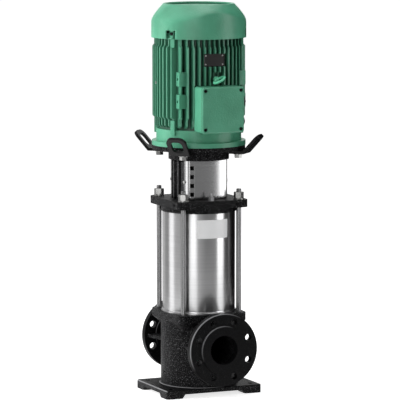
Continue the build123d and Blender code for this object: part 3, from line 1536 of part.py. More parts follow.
# Terminal box on the front of the frame
front_wall = Plane(origin=(0, 0, box_middle), x_dir=(1, 0, 0), z_dir=(0, -1, 0))
screw_spacing_x = box_width - 2 * cover_screw_inset
screw_spacing_z = box_height - 2 * cover_screw_inset
with BuildPart() as terminal_box:
    with BuildSketch(front_wall.offset(box_back)):
        RectangleRounded(box_width, box_height, box_corner_radius)
    extrude(amount=box_front - box_back)
    with BuildSketch(front_wall.offset(box_back + box_wall)):
        RectangleRounded(box_width - 2 * box_wall, box_height - 2 * box_wall, box_corner_radius - box_wall)
    extrude(amount=box_front - box_back, mode=Mode.SUBTRACT)
    with BuildSketch(front_wall.offset(box_back)):
        with GridLocations(screw_spacing_x, screw_spacing_z, 2, 2):
            Rectangle(2 * cover_screw_inset - box_wall, 2 * cover_screw_inset - box_wall)
    extrude(amount=box_front - box_back)
    with BuildSketch(front_wall.offset(box_front - pad_hole_depth)):
        with GridLocations(screw_spacing_x, screw_spacing_z, 2, 2):
            Circle(cover_screw_shank / 2)
    extrude(amount=pad_hole_depth, mode=Mode.SUBTRACT)
    gland_side = Plane(
        origin=(box_width / 2 - box_wall, -gland_depth_position, 0),
        x_dir=(0, 1, 0),
        z_dir=(1, 0, 0),
    )
    for height, diameter in zip(gland_heights, gland_diameters):
        with BuildSketch(gland_side):
            with Locations((0, height)):
                Circle(diameter / 2 - gland_flange_overlap)
        extrude(amount=box_wall, mode=Mode.SUBTRACT)
save(terminal_box, "terminal_box")

with BuildPart() as gland_plugs:
    for height, diameter in zip(gland_heights, gland_diameters):
        with BuildSketch(gland_side):
            with Locations((0, height)):
                Circle(diameter / 2 - gland_flange_overlap)
        extrude(amount=box_wall)
        with BuildSketch(gland_side.offset(box_wall)):
            with Locations((0, height)):
                Circle(diameter / 2)
        extrude(amount=gland_collar_length)
        with BuildSketch(gland_side.offset(box_wall + gland_collar_length)):
            with Locations((0, height)):
                RegularPolygon(diameter / 2 * gland_hexagon_share, 6, major_radius=False)
        extrude(amount=gland_reach - gland_collar_length)
save(gland_plugs, "gland_plugs")

with BuildPart() as terminal_gasket:
    with BuildSketch(front_wall.offset(box_front)):
        RectangleRounded(box_width, box_height, box_corner_radius)
        RectangleRounded(
            box_width - 2 * box_wall,
            box_height - 2 * box_wall,
            box_corner_radius - box_wall,
            mode=Mode.SUBTRACT,
        )
    extrude(amount=gasket_thickness)
save(terminal_gasket, "terminal_gasket")

cover_back = box_front + gasket_thickness
with BuildPart() as terminal_cover:
    with BuildSketch(front_wall.offset(cover_back)):
        RectangleRounded(box_width, box_height, box_corner_radius)
    extrude(amount=cover_front - cover_back)
    chamfer(terminal_cover.faces().sort_by(Axis.Y)[0].edges(), cover_bevel)
    with BuildSketch(front_wall.offset(cover_front - cover_screw_pocket_depth)):
        with GridLocations(screw_spacing_x, screw_spacing_z, 2, 2):
            Circle(cover_screw_pocket / 2)
    extrude(amount=cover_screw_pocket_depth, mode=Mode.SUBTRACT)
    with BuildSketch(front_wall.offset(cover_back)):
        with GridLocations(screw_spacing_x, screw_spacing_z, 2, 2):
            Circle(cover_screw_shank / 2)
    extrude(amount=cover_front - cover_back, mode=Mode.SUBTRACT)
save(terminal_cover, "terminal_cover")

with BuildPart() as cover_screws:
    with BuildSketch(front_wall.offset(cover_back)):
        with GridLocations(screw_spacing_x, screw_spacing_z, 2, 2):
            Circle(cover_screw_shank / 2)
    extrude(amount=cover_front - cover_screw_pocket_depth - cover_back)
    with BuildSketch(front_wall.offset(cover_front - cover_screw_pocket_depth)):
        with GridLocations(screw_spacing_x, screw_spacing_z, 2, 2):
            RegularPolygon(cover_screw_diameter / 2, 6, major_radius=False)
    extrude(amount=cover_screw_head_height)
save(cover_screws, "cover_screws")

with BuildPart() as terminal_block:
    with BuildSketch(front_wall.offset(box_back + box_wall)):
        Rectangle(terminal_block_width, terminal_block_height)
    extrude(amount=terminal_block_depth)
    with BuildSketch(front_wall.offset(box_back + box_wall + terminal_block_depth)):
        with GridLocations(terminal_block_width / 3, terminal_block_height / 2, 3, 2):
            Circle(cover_screw_diameter / 2)
    extrude(amount=cover_screw_diameter)
save(terminal_block, "terminal_block")
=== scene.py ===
import json
import math

import bmesh
import bpy
import numpy as np
from bpy.props import FloatProperty, FloatVectorProperty, PointerProperty
from bpy.types import Operator, Panel, PropertyGroup
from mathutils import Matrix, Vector

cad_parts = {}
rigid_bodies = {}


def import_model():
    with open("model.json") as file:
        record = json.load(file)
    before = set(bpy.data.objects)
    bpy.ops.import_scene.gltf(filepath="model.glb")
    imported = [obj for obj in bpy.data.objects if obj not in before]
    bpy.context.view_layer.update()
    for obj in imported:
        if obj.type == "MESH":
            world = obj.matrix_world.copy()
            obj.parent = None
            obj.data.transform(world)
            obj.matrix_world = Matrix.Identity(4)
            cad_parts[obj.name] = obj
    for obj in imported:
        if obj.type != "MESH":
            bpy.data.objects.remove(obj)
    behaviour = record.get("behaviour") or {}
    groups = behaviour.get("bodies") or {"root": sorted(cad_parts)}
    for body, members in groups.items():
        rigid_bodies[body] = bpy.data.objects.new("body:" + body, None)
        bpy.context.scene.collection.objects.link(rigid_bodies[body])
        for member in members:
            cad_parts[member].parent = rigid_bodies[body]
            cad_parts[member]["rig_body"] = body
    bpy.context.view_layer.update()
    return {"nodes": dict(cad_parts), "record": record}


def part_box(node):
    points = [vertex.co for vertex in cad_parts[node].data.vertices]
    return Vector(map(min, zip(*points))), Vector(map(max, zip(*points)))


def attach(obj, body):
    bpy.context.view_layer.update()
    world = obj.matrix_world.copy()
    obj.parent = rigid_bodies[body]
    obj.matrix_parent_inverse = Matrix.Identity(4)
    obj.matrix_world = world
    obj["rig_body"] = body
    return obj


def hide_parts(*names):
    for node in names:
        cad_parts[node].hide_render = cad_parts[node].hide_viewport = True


bl_info = {
    "name": "Vertical multistage pump",
    "version": (1, 0, 0),
    "blender": (4, 5, 0),
    "location": "3D View > Sidebar > Pump",
    "description": "Finished surfaces, materials and studio for a vertical in-line multistage pump",
    "category": "Object",
}

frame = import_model()

SLEEVE_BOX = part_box("outer_sleeve")
COWL_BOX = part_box("fan_cowl")
NUT_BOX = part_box("tie_rod_nuts")
ROD_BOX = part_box("tie_rods")
WASHER_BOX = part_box("tie_rod_washers")
PLATE_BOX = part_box("motor_plate")
EYE_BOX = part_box("eye_bolt")

# Sizes in metres and directions in radians that the CAD boxes don't give
PORT_HEIGHT = 0.137
ROD_RADIUS = 0.007
ROD_CLEARANCE = 0.0001
EYE_CENTRE = np.array([0.0, -0.136, 0.8725])
COWL_SCREWS = np.radians([30.0, 150.0, 210.0, 330.0])
MERGE_GAP = 1e-6

# Kinds of column round the cowl
WALL, OPEN, TONGUE = 0, 1, 2

# Name, degrees right of the camera, distance, width, height of the middle, watts, in reflections
LAMPS = (
    ("left_softbox", -93, 3.0, 1.15, 1.2, 127, False),
    ("fill_softbox", -48, 3.6, 1.2, 1.2, 27, False),
    ("front_softbox", -17, 4.2, 1.25, 1.3, 22, True),
    ("right_softbox", 71, 3.0, 1.25, 1.2, 25, True),
)
LAMP_HEIGHT = 3.2
# Backdrops that only reflections show: from and to in degrees right of the camera, and grey
FLAGS = (
    (-152, -126, 0.70),
    (-126, -100, 0.42),
    (-100, -80, 1.9),
    (-80, -54, 0.60),
    (-54, -42, 0.22),
    (-42, -29, 0.36),
    (-4, 4, 0.50),
    (4, 11, 0.42),
    (11, 17, 0.33),
    (17, 57, 0.26),
    (80, 108, 0.09),
    (108, 158, 0.01),
)


# ---- Sizes and colours


def length_of(name, description, default):
    """Length that a user may change, in metres."""
    return FloatProperty(name=name, description=description, subtype="DISTANCE", default=default)


def turn_of(name, description, degrees):
    """Angle that a user may change."""
    return FloatProperty(
        name=name, description=description, subtype="ANGLE", default=math.radians(degrees)
    )


def colour_of(name, description, default):
    """Colour that a user may change, as linear light."""
    return FloatVectorProperty(name=name, description=description, subtype="COLOR", default=default)


class PumpColours(PropertyGroup):
    """Paint and metal colours, as linear light."""

    green: colour_of("Green enamel", "Enamel on the motor", (0.092, 0.375, 0.230))
    # Deep green: random soft patches of thicker enamel, and on the frame the painted shade in the
    # gaps between the fins
    green_deep_and_shade: colour_of(
        "Deep green", "Thicker enamel in hollows and soft patches", (0.066, 0.300, 0.178)
    )
    black: colour_of("Black paint", "Paint on the castings", (0.003, 0.003, 0.0033))
    # Lighter black: the forged steel's grain tone, and on the castings the painted glints on the
    # grain tips, painted highlights on lit edges and a painted sheen on the lantern's legs
    black_glint_and_grain: colour_of(
        "Black paint, raised grain", "Lighter tips of the cast grain", (0.060, 0.060, 0.062)
    )
    steel: colour_of("Stainless steel", "Brushed sheet and bar", (0.52, 0.52, 0.525))
    zinc: colour_of("Zinc plate", "Nuts, washers and screws", (0.44, 0.44, 0.43))


class PumpCowl(PropertyGroup):
    """Sizes of the fan cowl."""

    wall: length_of("Wall", "Sheet thickness", 0.002)
    shoulder_low: length_of("Low shoulder", "Height of the crease above the screws", 1.030)
    shoulder_rise: length_of(
        "Shoulder rise", "How far the crease climbs between the screws", 0.024
    )
    softness: length_of("Crease softness", "Blend length of the crease", 0.0022)
    rim_radius: length_of("Rim radius", "Outside of the top rim", 0.0973)
    rim_width: length_of("Rim width", "Flat land round the grille", 0.006)
    grille_drop: length_of("Grille drop", "Grille below the rim", 0.006)
    notch_width: length_of("Notch width", "Opening round each screw tongue", 0.030)
    notch_bottom: length_of("Notch bottom", "Lower edge of the notch", 0.985)
    notch_top: length_of("Notch top", "Upper edge of the notch", 1.005)
    tongue_width: length_of("Tongue width", "Screwed tongue in the notch", 0.014)
    tongue_face: length_of("Tongue face", "Distance of the tongue's face from the shaft", 0.1248)


class PumpHardware(PropertyGroup):
    """Sizes of rods, nuts and the eye bolt."""

    thread_pitch: length_of("Thread pitch", "Pitch of the tie rod thread", 0.002)
    thread_depth: length_of("Thread depth", "Depth of the tie rod thread", 0.0005)
    thread_length: length_of("Thread length", "Threaded end of each tie rod", 0.050)
    nut_flats: length_of("Nut flats", "Width across the flats of the tie rod nuts", 0.024)
    eye_radius: length_of("Eye radius", "Middle radius of the eye bolt's ring", 0.0163)
    eye_wire: length_of("Eye wire", "Diameter of the ring's bar", 0.0064)
    eye_tilt: turn_of("Eye tilt", "Turn of the ring about its shank", 30)


class PumpGuard(PropertyGroup):
    """Sizes of the coupling guards."""

    wall: length_of("Sheet", "Sheet thickness", 0.0015)
    curve: length_of("Curve", "Radius of the curved front", 0.360)
    curve_centre: length_of(
        "Curve centre", "How far behind the shaft the curve has its centre", 0.2933
    )
    arc_half_angle: FloatProperty(
        name="Half arc", description="Half the angle of the curved front, in degrees", default=8
    )
    flank_end: length_of("Flank end", "Half the width of the sheet at its bend", 0.0555)
    bend_radius: length_of("Bend radius", "Distance of the lip's start from the shaft", 0.0826)
    bend_angle: turn_of("Bend angle", "Direction of the lip's start", 46.5)
    lip_radius: length_of("Lip radius", "Distance of the lip's edge from the shaft", 0.0755)
    lip_angle: turn_of("Lip angle", "Direction of the lip's edge", 56.5)
    hole_edge: length_of(
        "Hole edge", "Distance of the square holes' outer side from the middle", 0.0538
    )
    hole_size: length_of("Hole size", "Side of a square hole", 0.0115)
    hole_pitch: length_of("Hole pitch", "From one square hole to the next", 0.0243)


class PumpStage(PropertyGroup):
    """Camera and studio."""

    azimuth: turn_of("Camera azimuth", "Camera direction round the pump", -24.19)
    distance: length_of("Camera distance", "Level distance from the shaft", 8.394)
    height: length_of("Camera height", "Height above the floor", 1.5266)
    aim: length_of("Aim height", "Height of the point looked at", 0.531)
    lens: FloatProperty(name="Lens", description="Focal length in millimetres", default=275.77)
    shift: FloatProperty(
        name="Shift",
        description="Sideways shift that puts the shaft where the photograph has it",
        default=0.0032,
    )


# ---- Materials


def scaled(colour, factor):
    """A colour times a factor, each part held at 1."""
    return tuple(min(1.0, factor * c) for c in colour)


def maths(tree, operation, first, second):
    """Sum, product or the like of two values, each a number or a socket."""
    made = tree.nodes.new("ShaderNodeMath")
    made.operation = operation
    for socket, value in zip(made.inputs, (first, second)):
        if isinstance(value, (int, float)):
            socket.default_value = value
        else:
            tree.links.new(value, socket)
    return made.outputs["Value"]


class Finish:
    """One procedural material whose patterns read Object coordinates."""

    def __init__(self, name, colour, metallic=0.0, roughness=0.4, **sockets):
        self.material = bpy.data.materials.new(name)
        self.material.use_nodes = True
        self.material.diffuse_color = (*colour, 1)
        self.tree = self.material.node_tree
        self.shader = self.tree.nodes["Principled BSDF"]
        self.shader.inputs["Base Color"].default_value = (*colour, 1)
        self.shader.inputs["Metallic"].default_value = metallic
        self.shader.inputs["Roughness"].default_value = roughness
        for socket, value in sockets.items():
            self.shader.inputs[socket.replace("_", " ")].default_value = value
        self.place = self.node("ShaderNodeTexCoord").outputs["Object"]

    def node(self, kind, **values):
        made = self.tree.nodes.new(kind)
        for name, value in values.items():
            setattr(made, name, value)
        return made

    def wire(self, out, into):
        self.tree.links.new(out, into)

    def noise(self, scale, detail=3.0, rough=0.55, where=None):
        """Fractal noise between 0 and 1, its grain 1/scale metres across."""
        made = self.node("ShaderNodeTexNoise")
        made.inputs["Scale"].default_value = scale
        made.inputs["Detail"].default_value = detail
        made.inputs["Roughness"].default_value = rough
        self.wire(where or self.place, made.inputs["Vector"])
        return made.outputs["Fac"]

    def lines(self, level, upright, detail=3, rough=0.6):
        """Noise drawn out into lines by its scales level and upright."""
        mapping = self.node("ShaderNodeMapping")
        mapping.inputs["Scale"].default_value = (level, level, upright)
        self.wire(self.place, mapping.inputs["Vector"])
        return self.noise(1, detail, rough, mapping.outputs["Vector"])

    def bands(self, scale, distortion=0.0):
        """Even waves up the height."""
        made = self.node("ShaderNodeTexWave", wave_type="BANDS", bands_direction="Z")
        made.inputs["Scale"].default_value = scale
        made.inputs["Distortion"].default_value = distortion
        self.wire(self.place, made.inputs["Vector"])
        return made.outputs["Fac"]

    def spread(self, value, low, high, start=0.0, end=1.0):
        """value from start..end to low..high, held at both ends."""
        made = self.node("ShaderNodeMapRange")
        for socket, number in zip(
            ("From Min", "From Max", "To Min", "To Max"), (start, end, low, high)
        ):
            made.inputs[socket].default_value = number
        self.wire(value, made.inputs["Value"])
        return made.outputs["Result"]

    def middle(self, pattern, low=0, high=1):
        """low to high over the middle of a pattern, where most of a noise lies."""
        return self.spread(pattern, low, high, 0.3, 0.7)

    def times(self, first, second):
        return maths(self.tree, "MULTIPLY", first, second)

    def plus(self, first, second):
        return maths(self.tree, "ADD", first, second)

    def less(self, first, second):
        return maths(self.tree, "SUBTRACT", first, second)

    def most(self, first, second):
        return maths(self.tree, "MAXIMUM", first, second)

    def between(self, value, low, high):
        """1 where value lies between low and high, falling to 0 within half a millimetre."""
        blend = 0.0005
        return self.times(
            self.spread(value, 0, 1, low - blend, low),
            self.spread(value, 1, 0, high, high + blend),
        )

    def apart(self):
        """The three object coordinates, one by one."""
        made = self.node("ShaderNodeSeparateXYZ")
        self.wire(self.place, made.inputs[0])
        return made.outputs[0], made.outputs[1], made.outputs[2]

    def distance(self, first, second):
        """Root of the sum of two squares."""
        squares = self.plus(self.times(first, first), self.times(second, second))
        return maths(self.tree, "POWER", squares, 0.5)

    def colour(self, share, first, second):
        """Base colour between two colours."""
        made = self.node("ShaderNodeMix", data_type="RGBA")
        self.wire(share, made.inputs["Factor"])
        made.inputs[6].default_value = (*first, 1)
        made.inputs[7].default_value = (*second, 1)
        self.wire(made.outputs[2], self.shader.inputs["Base Color"])

    def shades(self, share, colour, low, high):
        """Base colour between low times and high times one colour."""
        self.colour(share, scaled(colour, low), scaled(colour, high))

    def rough(self, value):
        self.wire(value, self.shader.inputs["Roughness"])

    def bump(self, height, distance, strength=1.0):
        """Surface grain, its height in metres."""
        made = self.node("ShaderNodeBump")
        made.inputs["Distance"].default_value = distance
        made.inputs["Strength"].default_value = strength
        self.wire(height, made.inputs["Height"])
        self.wire(made.outputs["Normal"], self.shader.inputs["Normal"])

    def brushed(self, turn):
        """Reflections drawn out across a grain that runs round the shaft or along it."""
        tangent = self.node("ShaderNodeTangent", direction_type="RADIAL", axis="Z")
        self.wire(tangent.outputs["Tangent"], self.shader.inputs["Tangent"])
        self.shader.inputs["Anisotropic Rotation"].default_value = turn


def green_enamel(colours, name="green_enamel", hollows=None, tone=1.0):
    """Satin green enamel with a soft orange peel and slow patches of thicker paint; hollows is
    the pair of distances from the shaft between which painted shade, darkening the gaps between
    the fins, gives way to plain paint; tone scales the colours, and above 1 it makes a lighter
    copy that is painted light."""
    finish = Finish(name, colours.green, roughness=0.42, Specular_IOR_Level=0.6)
    patches = finish.noise(14, 2)
    grain = finish.noise(900, 2)
    share = finish.spread(patches, 0, 1, 0.35, 0.7)
    depth = tone
    if hollows:
        x, y, _ = finish.apart()
        # painted shade: the enamel darkens towards the shaft, deep in the gaps between the fins
        gap_shade = finish.spread(finish.distance(x, y), 1, 0, *hollows)
        share = finish.most(finish.times(share, 0.15), gap_shade)
        # the deep colour, darkened much further for that painted shade
        depth = 0.22 * tone
    finish.colour(share, scaled(colours.green, tone), scaled(colours.green_deep_and_shade, depth))
    finish.rough(finish.middle(grain, 0.28, 0.42))
    finish.bump(finish.plus(finish.times(grain, 0.4), finish.noise(190, 1)), 0.0007, 0.9)
    return finish.material


def cast_black(colours):
    """Black paint over sand-cast iron: rounded grain whose tips are shinier and painted lighter as
    glints, which the flanges and the top of the foot plate don't have, and the flanges have less
    grain. Painted highlights lie on the upper left of the flanges' corners and raised faces' edges,
    along the foot plate's left edge and along the body's foot on its left, and the lantern's legs
    are painted a little lighter as a sheen."""
    finish = Finish("cast_black_paint", colours.black, roughness=0.4, Specular_IOR_Level=0.08)
    spread, between, times, most = finish.spread, finish.between, finish.times, finish.most
    grain = finish.noise(470, 1, 0.5)
    lumps = finish.noise(110, 2)
    x, y, z = finish.apart()
    along = maths(finish.tree, "ABSOLUTE", y, 0)
    rise = finish.less(z, PORT_HEIGHT)
    radius = finish.distance(x, rise)
    # Painted highlights on the upper left of the flanges' outer corners and of their raised faces'
    # edges, where the light falls
    flange = spread(along, 0, 1, 0.1455, 0.1475)
    corner = times(spread(radius, 0, 1, 0.0970, 0.0978), spread(along, 0, 1, 0.1640, 0.1648))
    ring = times(between(radius, 0.0642, 0.0664), flange)
    rims = times(most(corner, ring), spread(finish.less(rise, x), 0, 1, 0.03, 0.10))
    # The foot plate's top, and painted highlights along its left edge and along the body's foot on
    # the left
    plate_top = between(z, 0.0218, 0.0234)
    plate_edge = times(between(z, 0.0208, 0.0234), spread(x, 1, 0, -0.1404, -0.1398))
    body_foot = times(between(z, 0.0240, 0.0250), spread(x, 1, 0, -0.03, 0.03))
    # all the painted highlights together
    slot_finishes_and_painted_edges = most(rims, most(plate_edge, body_foot))
    # no painted glints on the flanges nor on the top of the foot plate
    quiet = most(spread(flange, 0, 0.88), spread(plate_top, 0, 0.93))
    # lighter grain tips: painted glints
    tips = times(spread(grain, 0, 1, 0.60, 0.70), spread(quiet, 1, 0))
    # the lantern's legs painted a little lighter as a sheen
    legs = times(between(z, 0.545, 0.642), 0.13)
    share = most(finish.plus(times(tips, 0.6), legs), slot_finishes_and_painted_edges)
    # from the black paint to a lighter black that is the painted glints, highlights and sheen
    finish.colour(share, colours.black, scaled(colours.black_glint_and_grain, 4))
    finish.rough(spread(most(tips, slot_finishes_and_painted_edges), 0.46, 0.24))
    smooth = most(flange, slot_finishes_and_painted_edges)
    finish.bump(times(finish.plus(grain, lumps), spread(smooth, 1.0, 0.12)), 0.0016, 0.9)
    return finish.material


def smooth_black(colours):
    """Glossy black paint on forged and bent steel, with a faint orange peel."""
    finish = Finish("smooth_black_paint", colours.black, roughness=0.28, Specular_IOR_Level=0.17)
    grain = finish.noise(500, 3)
    share = finish.spread(grain, 0, 1, 0.5, 0.8)
    finish.colour(share, colours.black, scaled(colours.black_glint_and_grain, 0.14))
    finish.rough(finish.middle(grain, 0.24, 0.38))
    finish.bump(grain, 0.00025, 0.5)
    return finish.material


def brushed_sheet(colours, name="brushed_sheet", roughness=0.30, anisotropic=0.9):
    """Stainless sheet brushed round the shaft: fine level lines that draw highlights upright."""
    finish = Finish(name, colours.steel, metallic=1.0, roughness=roughness, Anisotropic=anisotropic)
    fine = finish.lines(2.5, 900)
    wide = finish.lines(1.5, 190, 2, 0.5)
    finish.shades(finish.spread(finish.plus(fine, wide), 0, 1, 0.8, 1.2), colours.steel, 0.94, 1.05)
    finish.rough(finish.middle(fine, roughness - 0.02, roughness + 0.03))
    finish.brushed(0.25)
    return finish.material


def drawn_bar(colours):
    """Bright drawn bar with faint lengthwise lines."""
    finish = Finish("drawn_bar", colours.steel, metallic=1.0, roughness=0.24)
    lines = finish.lines(1400, 8)
    finish.shades(finish.middle(lines), colours.steel, 0.45, 0.6)
    finish.rough(finish.middle(lines, 0.2, 0.34))
    return finish.material


def zinc_plate(colours):
    """Bright zinc with a mottled bloom."""
    finish = Finish("zinc_plate", colours.zinc, metallic=1.0, roughness=0.3)
    bloom = finish.noise(260, 4, 0.65)
    finish.shades(finish.spread(bloom, 0, 1, 0.35, 0.7), colours.zinc, 0.78, 1)
    finish.rough(finish.middle(bloom, 0.22, 0.42))
    finish.bump(bloom, 0.00005, 0.3)
    return finish.material


def plain_metal(name, colour, roughness=0.35):
    """Machined metal with a mottled tone and fine tool marks."""
    finish = Finish(name, colour, metallic=1.0, roughness=roughness)
    finish.shades(finish.middle(finish.noise(300, 3)), colour, 0.8, 1)
    marks = finish.lines(12, 1800)
    finish.rough(finish.middle(marks, roughness - 0.07, roughness + 0.1))
    finish.bump(marks, 0.00002, 0.3)
    return finish.material


def moulded(name, colour, roughness):
    """Moulded plastic or rubber with a fine even grain."""
    finish = Finish(name, colour, roughness=roughness)
    grain = finish.noise(700, 3)
    finish.shades(finish.middle(grain), colour, 0.8, 1.25)
    finish.rough(finish.middle(grain, roughness - 0.08, roughness + 0.08))
    finish.bump(grain, 0.00008, 0.4)
    return finish.material


def stacked_sheet():
    """Edges of thin steel sheets in a pack."""
    finish = Finish("stacked_sheet", (0.16, 0.16, 0.17), metallic=0.8, roughness=0.5)
    edges = finish.bands(320)
    finish.colour(edges, (0.08, 0.08, 0.085), (0.22, 0.22, 0.23))
    finish.bump(edges, 0.0001, 0.5)
    return finish.material


def wound_wire():
    """Enamelled copper wire laid side by side."""
    finish = Finish("wound_wire", (0.36, 0.12, 0.04), metallic=0.6, roughness=0.35, Coat_Weight=0.5)
    strands = finish.bands(260, 3.0)
    finish.colour(strands, (0.20, 0.06, 0.02), (0.45, 0.17, 0.06))
    finish.bump(strands, 0.0004, 0.6)
    return finish.material


def pale_foil():
    """Bare pale plate with a fine satin grain."""
    finish = Finish("pale_plate", (0.95, 0.95, 0.96), roughness=0.42, Specular_IOR_Level=1.0)
    grain = finish.lines(60, 1500)
    finish.colour(finish.middle(grain), (0.97, 0.975, 0.98), (0.985, 0.99, 0.995))
    finish.bump(grain, 0.00002, 0.3)
    return finish.material


def dark_plate():
    """Bare dark anodised plate."""
    finish = Finish("dark_plate", (0.012, 0.010, 0.010), metallic=0.2, roughness=0.42)
    grain = finish.lines(90, 1800)
    share = finish.middle(grain)
    finish.colour(share, (0.006, 0.005, 0.005), (0.016, 0.014, 0.014))
    finish.bump(grain, 0.00003, 0.3)
    return finish.material


# ---- Meshes


def placed(name, data):
    """New object in the scene."""
    made = bpy.data.objects.new(name, data)
    bpy.context.scene.collection.objects.link(made)
    return made


def meshed(name, points, faces, material):
    """New object from arrays of points and faces."""
    mesh = bpy.data.meshes.new(name)
    mesh.from_pydata(np.asarray(points, float).tolist(), [], [list(map(int, f)) for f in faces])
    mesh.materials.append(material)
    return placed(name, mesh)


def mesh_piece(name, points, faces, material, slot, crease=35):
    """New piece of the pump, smooth but for edges sharper than crease degrees."""
    piece = meshed(name, points, faces, material)
    piece.data.update()
    piece.data.shade_smooth()
    piece.data.set_sharp_from_angle(angle=math.radians(crease))
    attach(piece, "pump_frame")
    return piece


def grid_faces(rows, columns, wrap_columns=True, wrap_rows=False):
    """Quads of a grid whose points are listed row by row; a wrapped side joins its ends."""
    r = np.arange(rows if wrap_rows else rows - 1)
    c = np.arange(columns if wrap_columns else columns - 1)
    r, c = np.meshgrid(r, c, indexing="ij")
    up, right = (r + 1) % rows, (c + 1) % columns
    return np.stack(
        [r * columns + c, r * columns + right, up * columns + right, up * columns + c], -1
    ).reshape(-1, 4)


def full_turn(steps):
    """Even directions round a full turn."""
    return np.linspace(0, 2 * np.pi, steps, endpoint=False)


def around(radii, heights, angles, centre=(0.0, 0.0)):
    """Rows of points: the centre plus the radius times the angle's cosine and sine, at a height."""
    x = centre[0] + radii * np.cos(angles)
    y = centre[1] + radii * np.sin(angles)
    z = np.repeat(np.asarray(heights, float)[:, None], len(angles), axis=1)
    return np.stack([x, y, z], -1)


def turned(profile, steps, centre=(0.0, 0.0)):
    """Points of a profile of (radius, height) turned about an upright axis at centre."""
    profile = np.asarray(profile, float)
    return around(profile[:, :1], profile[:, 1], full_turn(steps), centre).reshape(-1, 3)


def joined(parts):
    """One list of points and faces from several (points, faces) pairs."""
    points, faces, start = [], [], 0
    for p, f in parts:
        points.append(p)
        faces.append(f + start)
        start += len(p)
    return np.concatenate(points), np.concatenate(faces)


def recalculated(piece):
    """Faces of a closed piece turned outwards, after merging its doubles."""
    shape = bmesh.new()
    shape.from_mesh(piece.data)
    bmesh.ops.remove_doubles(shape, verts=shape.verts, dist=MERGE_GAP)
    bmesh.ops.recalc_face_normals(shape, faces=shape.faces)
    shape.to_mesh(piece.data)
    shape.free()
    return piece


def sheet_metal(piece, thickness):
    """Gives a surface its thickness, inwards."""
    sheet = piece.modifiers.new("sheet", "SOLIDIFY")
    sheet.thickness = thickness
    sheet.offset = -1
    return sheet


def flat_faces(piece):
    """Keeps wide faces flat beside rounded edges."""
    piece.modifiers.new("flat_faces", "WEIGHTED_NORMAL").keep_sharp = True


def softened(node, material, width, segments):
    """Copy of a CAD node, merged, its flat facets joined, and its edges rounded by a Bevel."""
    flat, sharp = math.radians(0.4), math.radians(32)
    source = frame["nodes"][node]
    mesh = source.data.copy()
    mesh.name = node + "_soft"
    shape = bmesh.new()
    shape.from_mesh(mesh)
    bmesh.ops.remove_doubles(shape, verts=shape.verts, dist=MERGE_GAP)
    bmesh.ops.dissolve_limit(shape, angle_limit=flat, verts=shape.verts, edges=shape.edges)
    shape.to_mesh(mesh)
    shape.free()
    mesh.materials.clear()
    mesh.materials.append(material)
    mesh.shade_smooth()
    mesh.set_sharp_from_angle(angle=sharp)
    piece = placed(mesh.name, mesh)
    bevel = piece.modifiers.new("rounded_edges", "BEVEL")
    bevel.width = width
    bevel.segments = segments
    bevel.limit_method = "ANGLE"
    bevel.angle_limit = sharp
    flat_faces(piece)
    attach(piece, source["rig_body"])
    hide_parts(node)
    return piece


def hexagon_radius(angle, flats):
    """Distance from the middle of a hexagon to its side, in each direction."""
    sector = np.pi / 3
    return flats / 2 / np.cos((angle + sector / 2) % sector - sector / 2)


def hexagon_nut(centre, flats, bottom, top, bore, steps=72):
    """Chamfered hexagon nut: the smaller of the hexagon's radius and a cone's at each height."""
    angle = full_turn(steps)
    cone = flats / 2 * 1.02
    slope = 1 / math.tan(math.radians(30))
    drop = (flats / math.sqrt(3) - cone) / slope
    edge = [0, 0, drop * 0.5, drop]
    heights = np.array([bottom + step for step in edge] + [top - step for step in edge[::-1]])
    ends = np.minimum(heights - bottom, top - heights)[:, None]
    rows = np.minimum(hexagon_radius(angle, flats), cone + ends * slope)
    rows[[0, -1]] = bore
    points = around(rows, heights, angle, centre).reshape(-1, 3)
    return points, grid_faces(len(heights), steps, True, True)


def threaded_rod(centre, radius, bottom, top, thread_start, pitch, depth, steps=28):
    """Round bar whose radius dips along a helix above thread_start, with a chamfered tip."""
    angle = full_turn(steps)
    chamfer = top - radius * 0.25
    plain = np.array([bottom, bottom, thread_start])
    wound = np.arange(thread_start + pitch / 6, chamfer, pitch / 6)
    heights = np.concatenate([plain, wound, [chamfer, top, top]])
    phase = heights[:, None] / pitch - angle[None, :] / (2 * np.pi)
    tooth = np.abs((phase % 1.0) * 2 - 1)
    inside = (heights[:, None] > thread_start) & (heights[:, None] < chamfer)
    rows = radius - depth * tooth * inside
    rows[-2] = radius * 0.78
    rows[[0, -1]] = 0.0
    return around(rows, heights, angle, centre).reshape(-1, 3), grid_faces(len(heights), steps)


def rod_centres():
    """Places of the four tie rods, from the corners of their box."""
    half = (ROD_BOX[1][0] - ROD_BOX[0][0]) / 2 - ROD_RADIUS
    return [(x * half, y * half) for x in (-1, 1) for y in (-1, 1)]


# ---- Operators


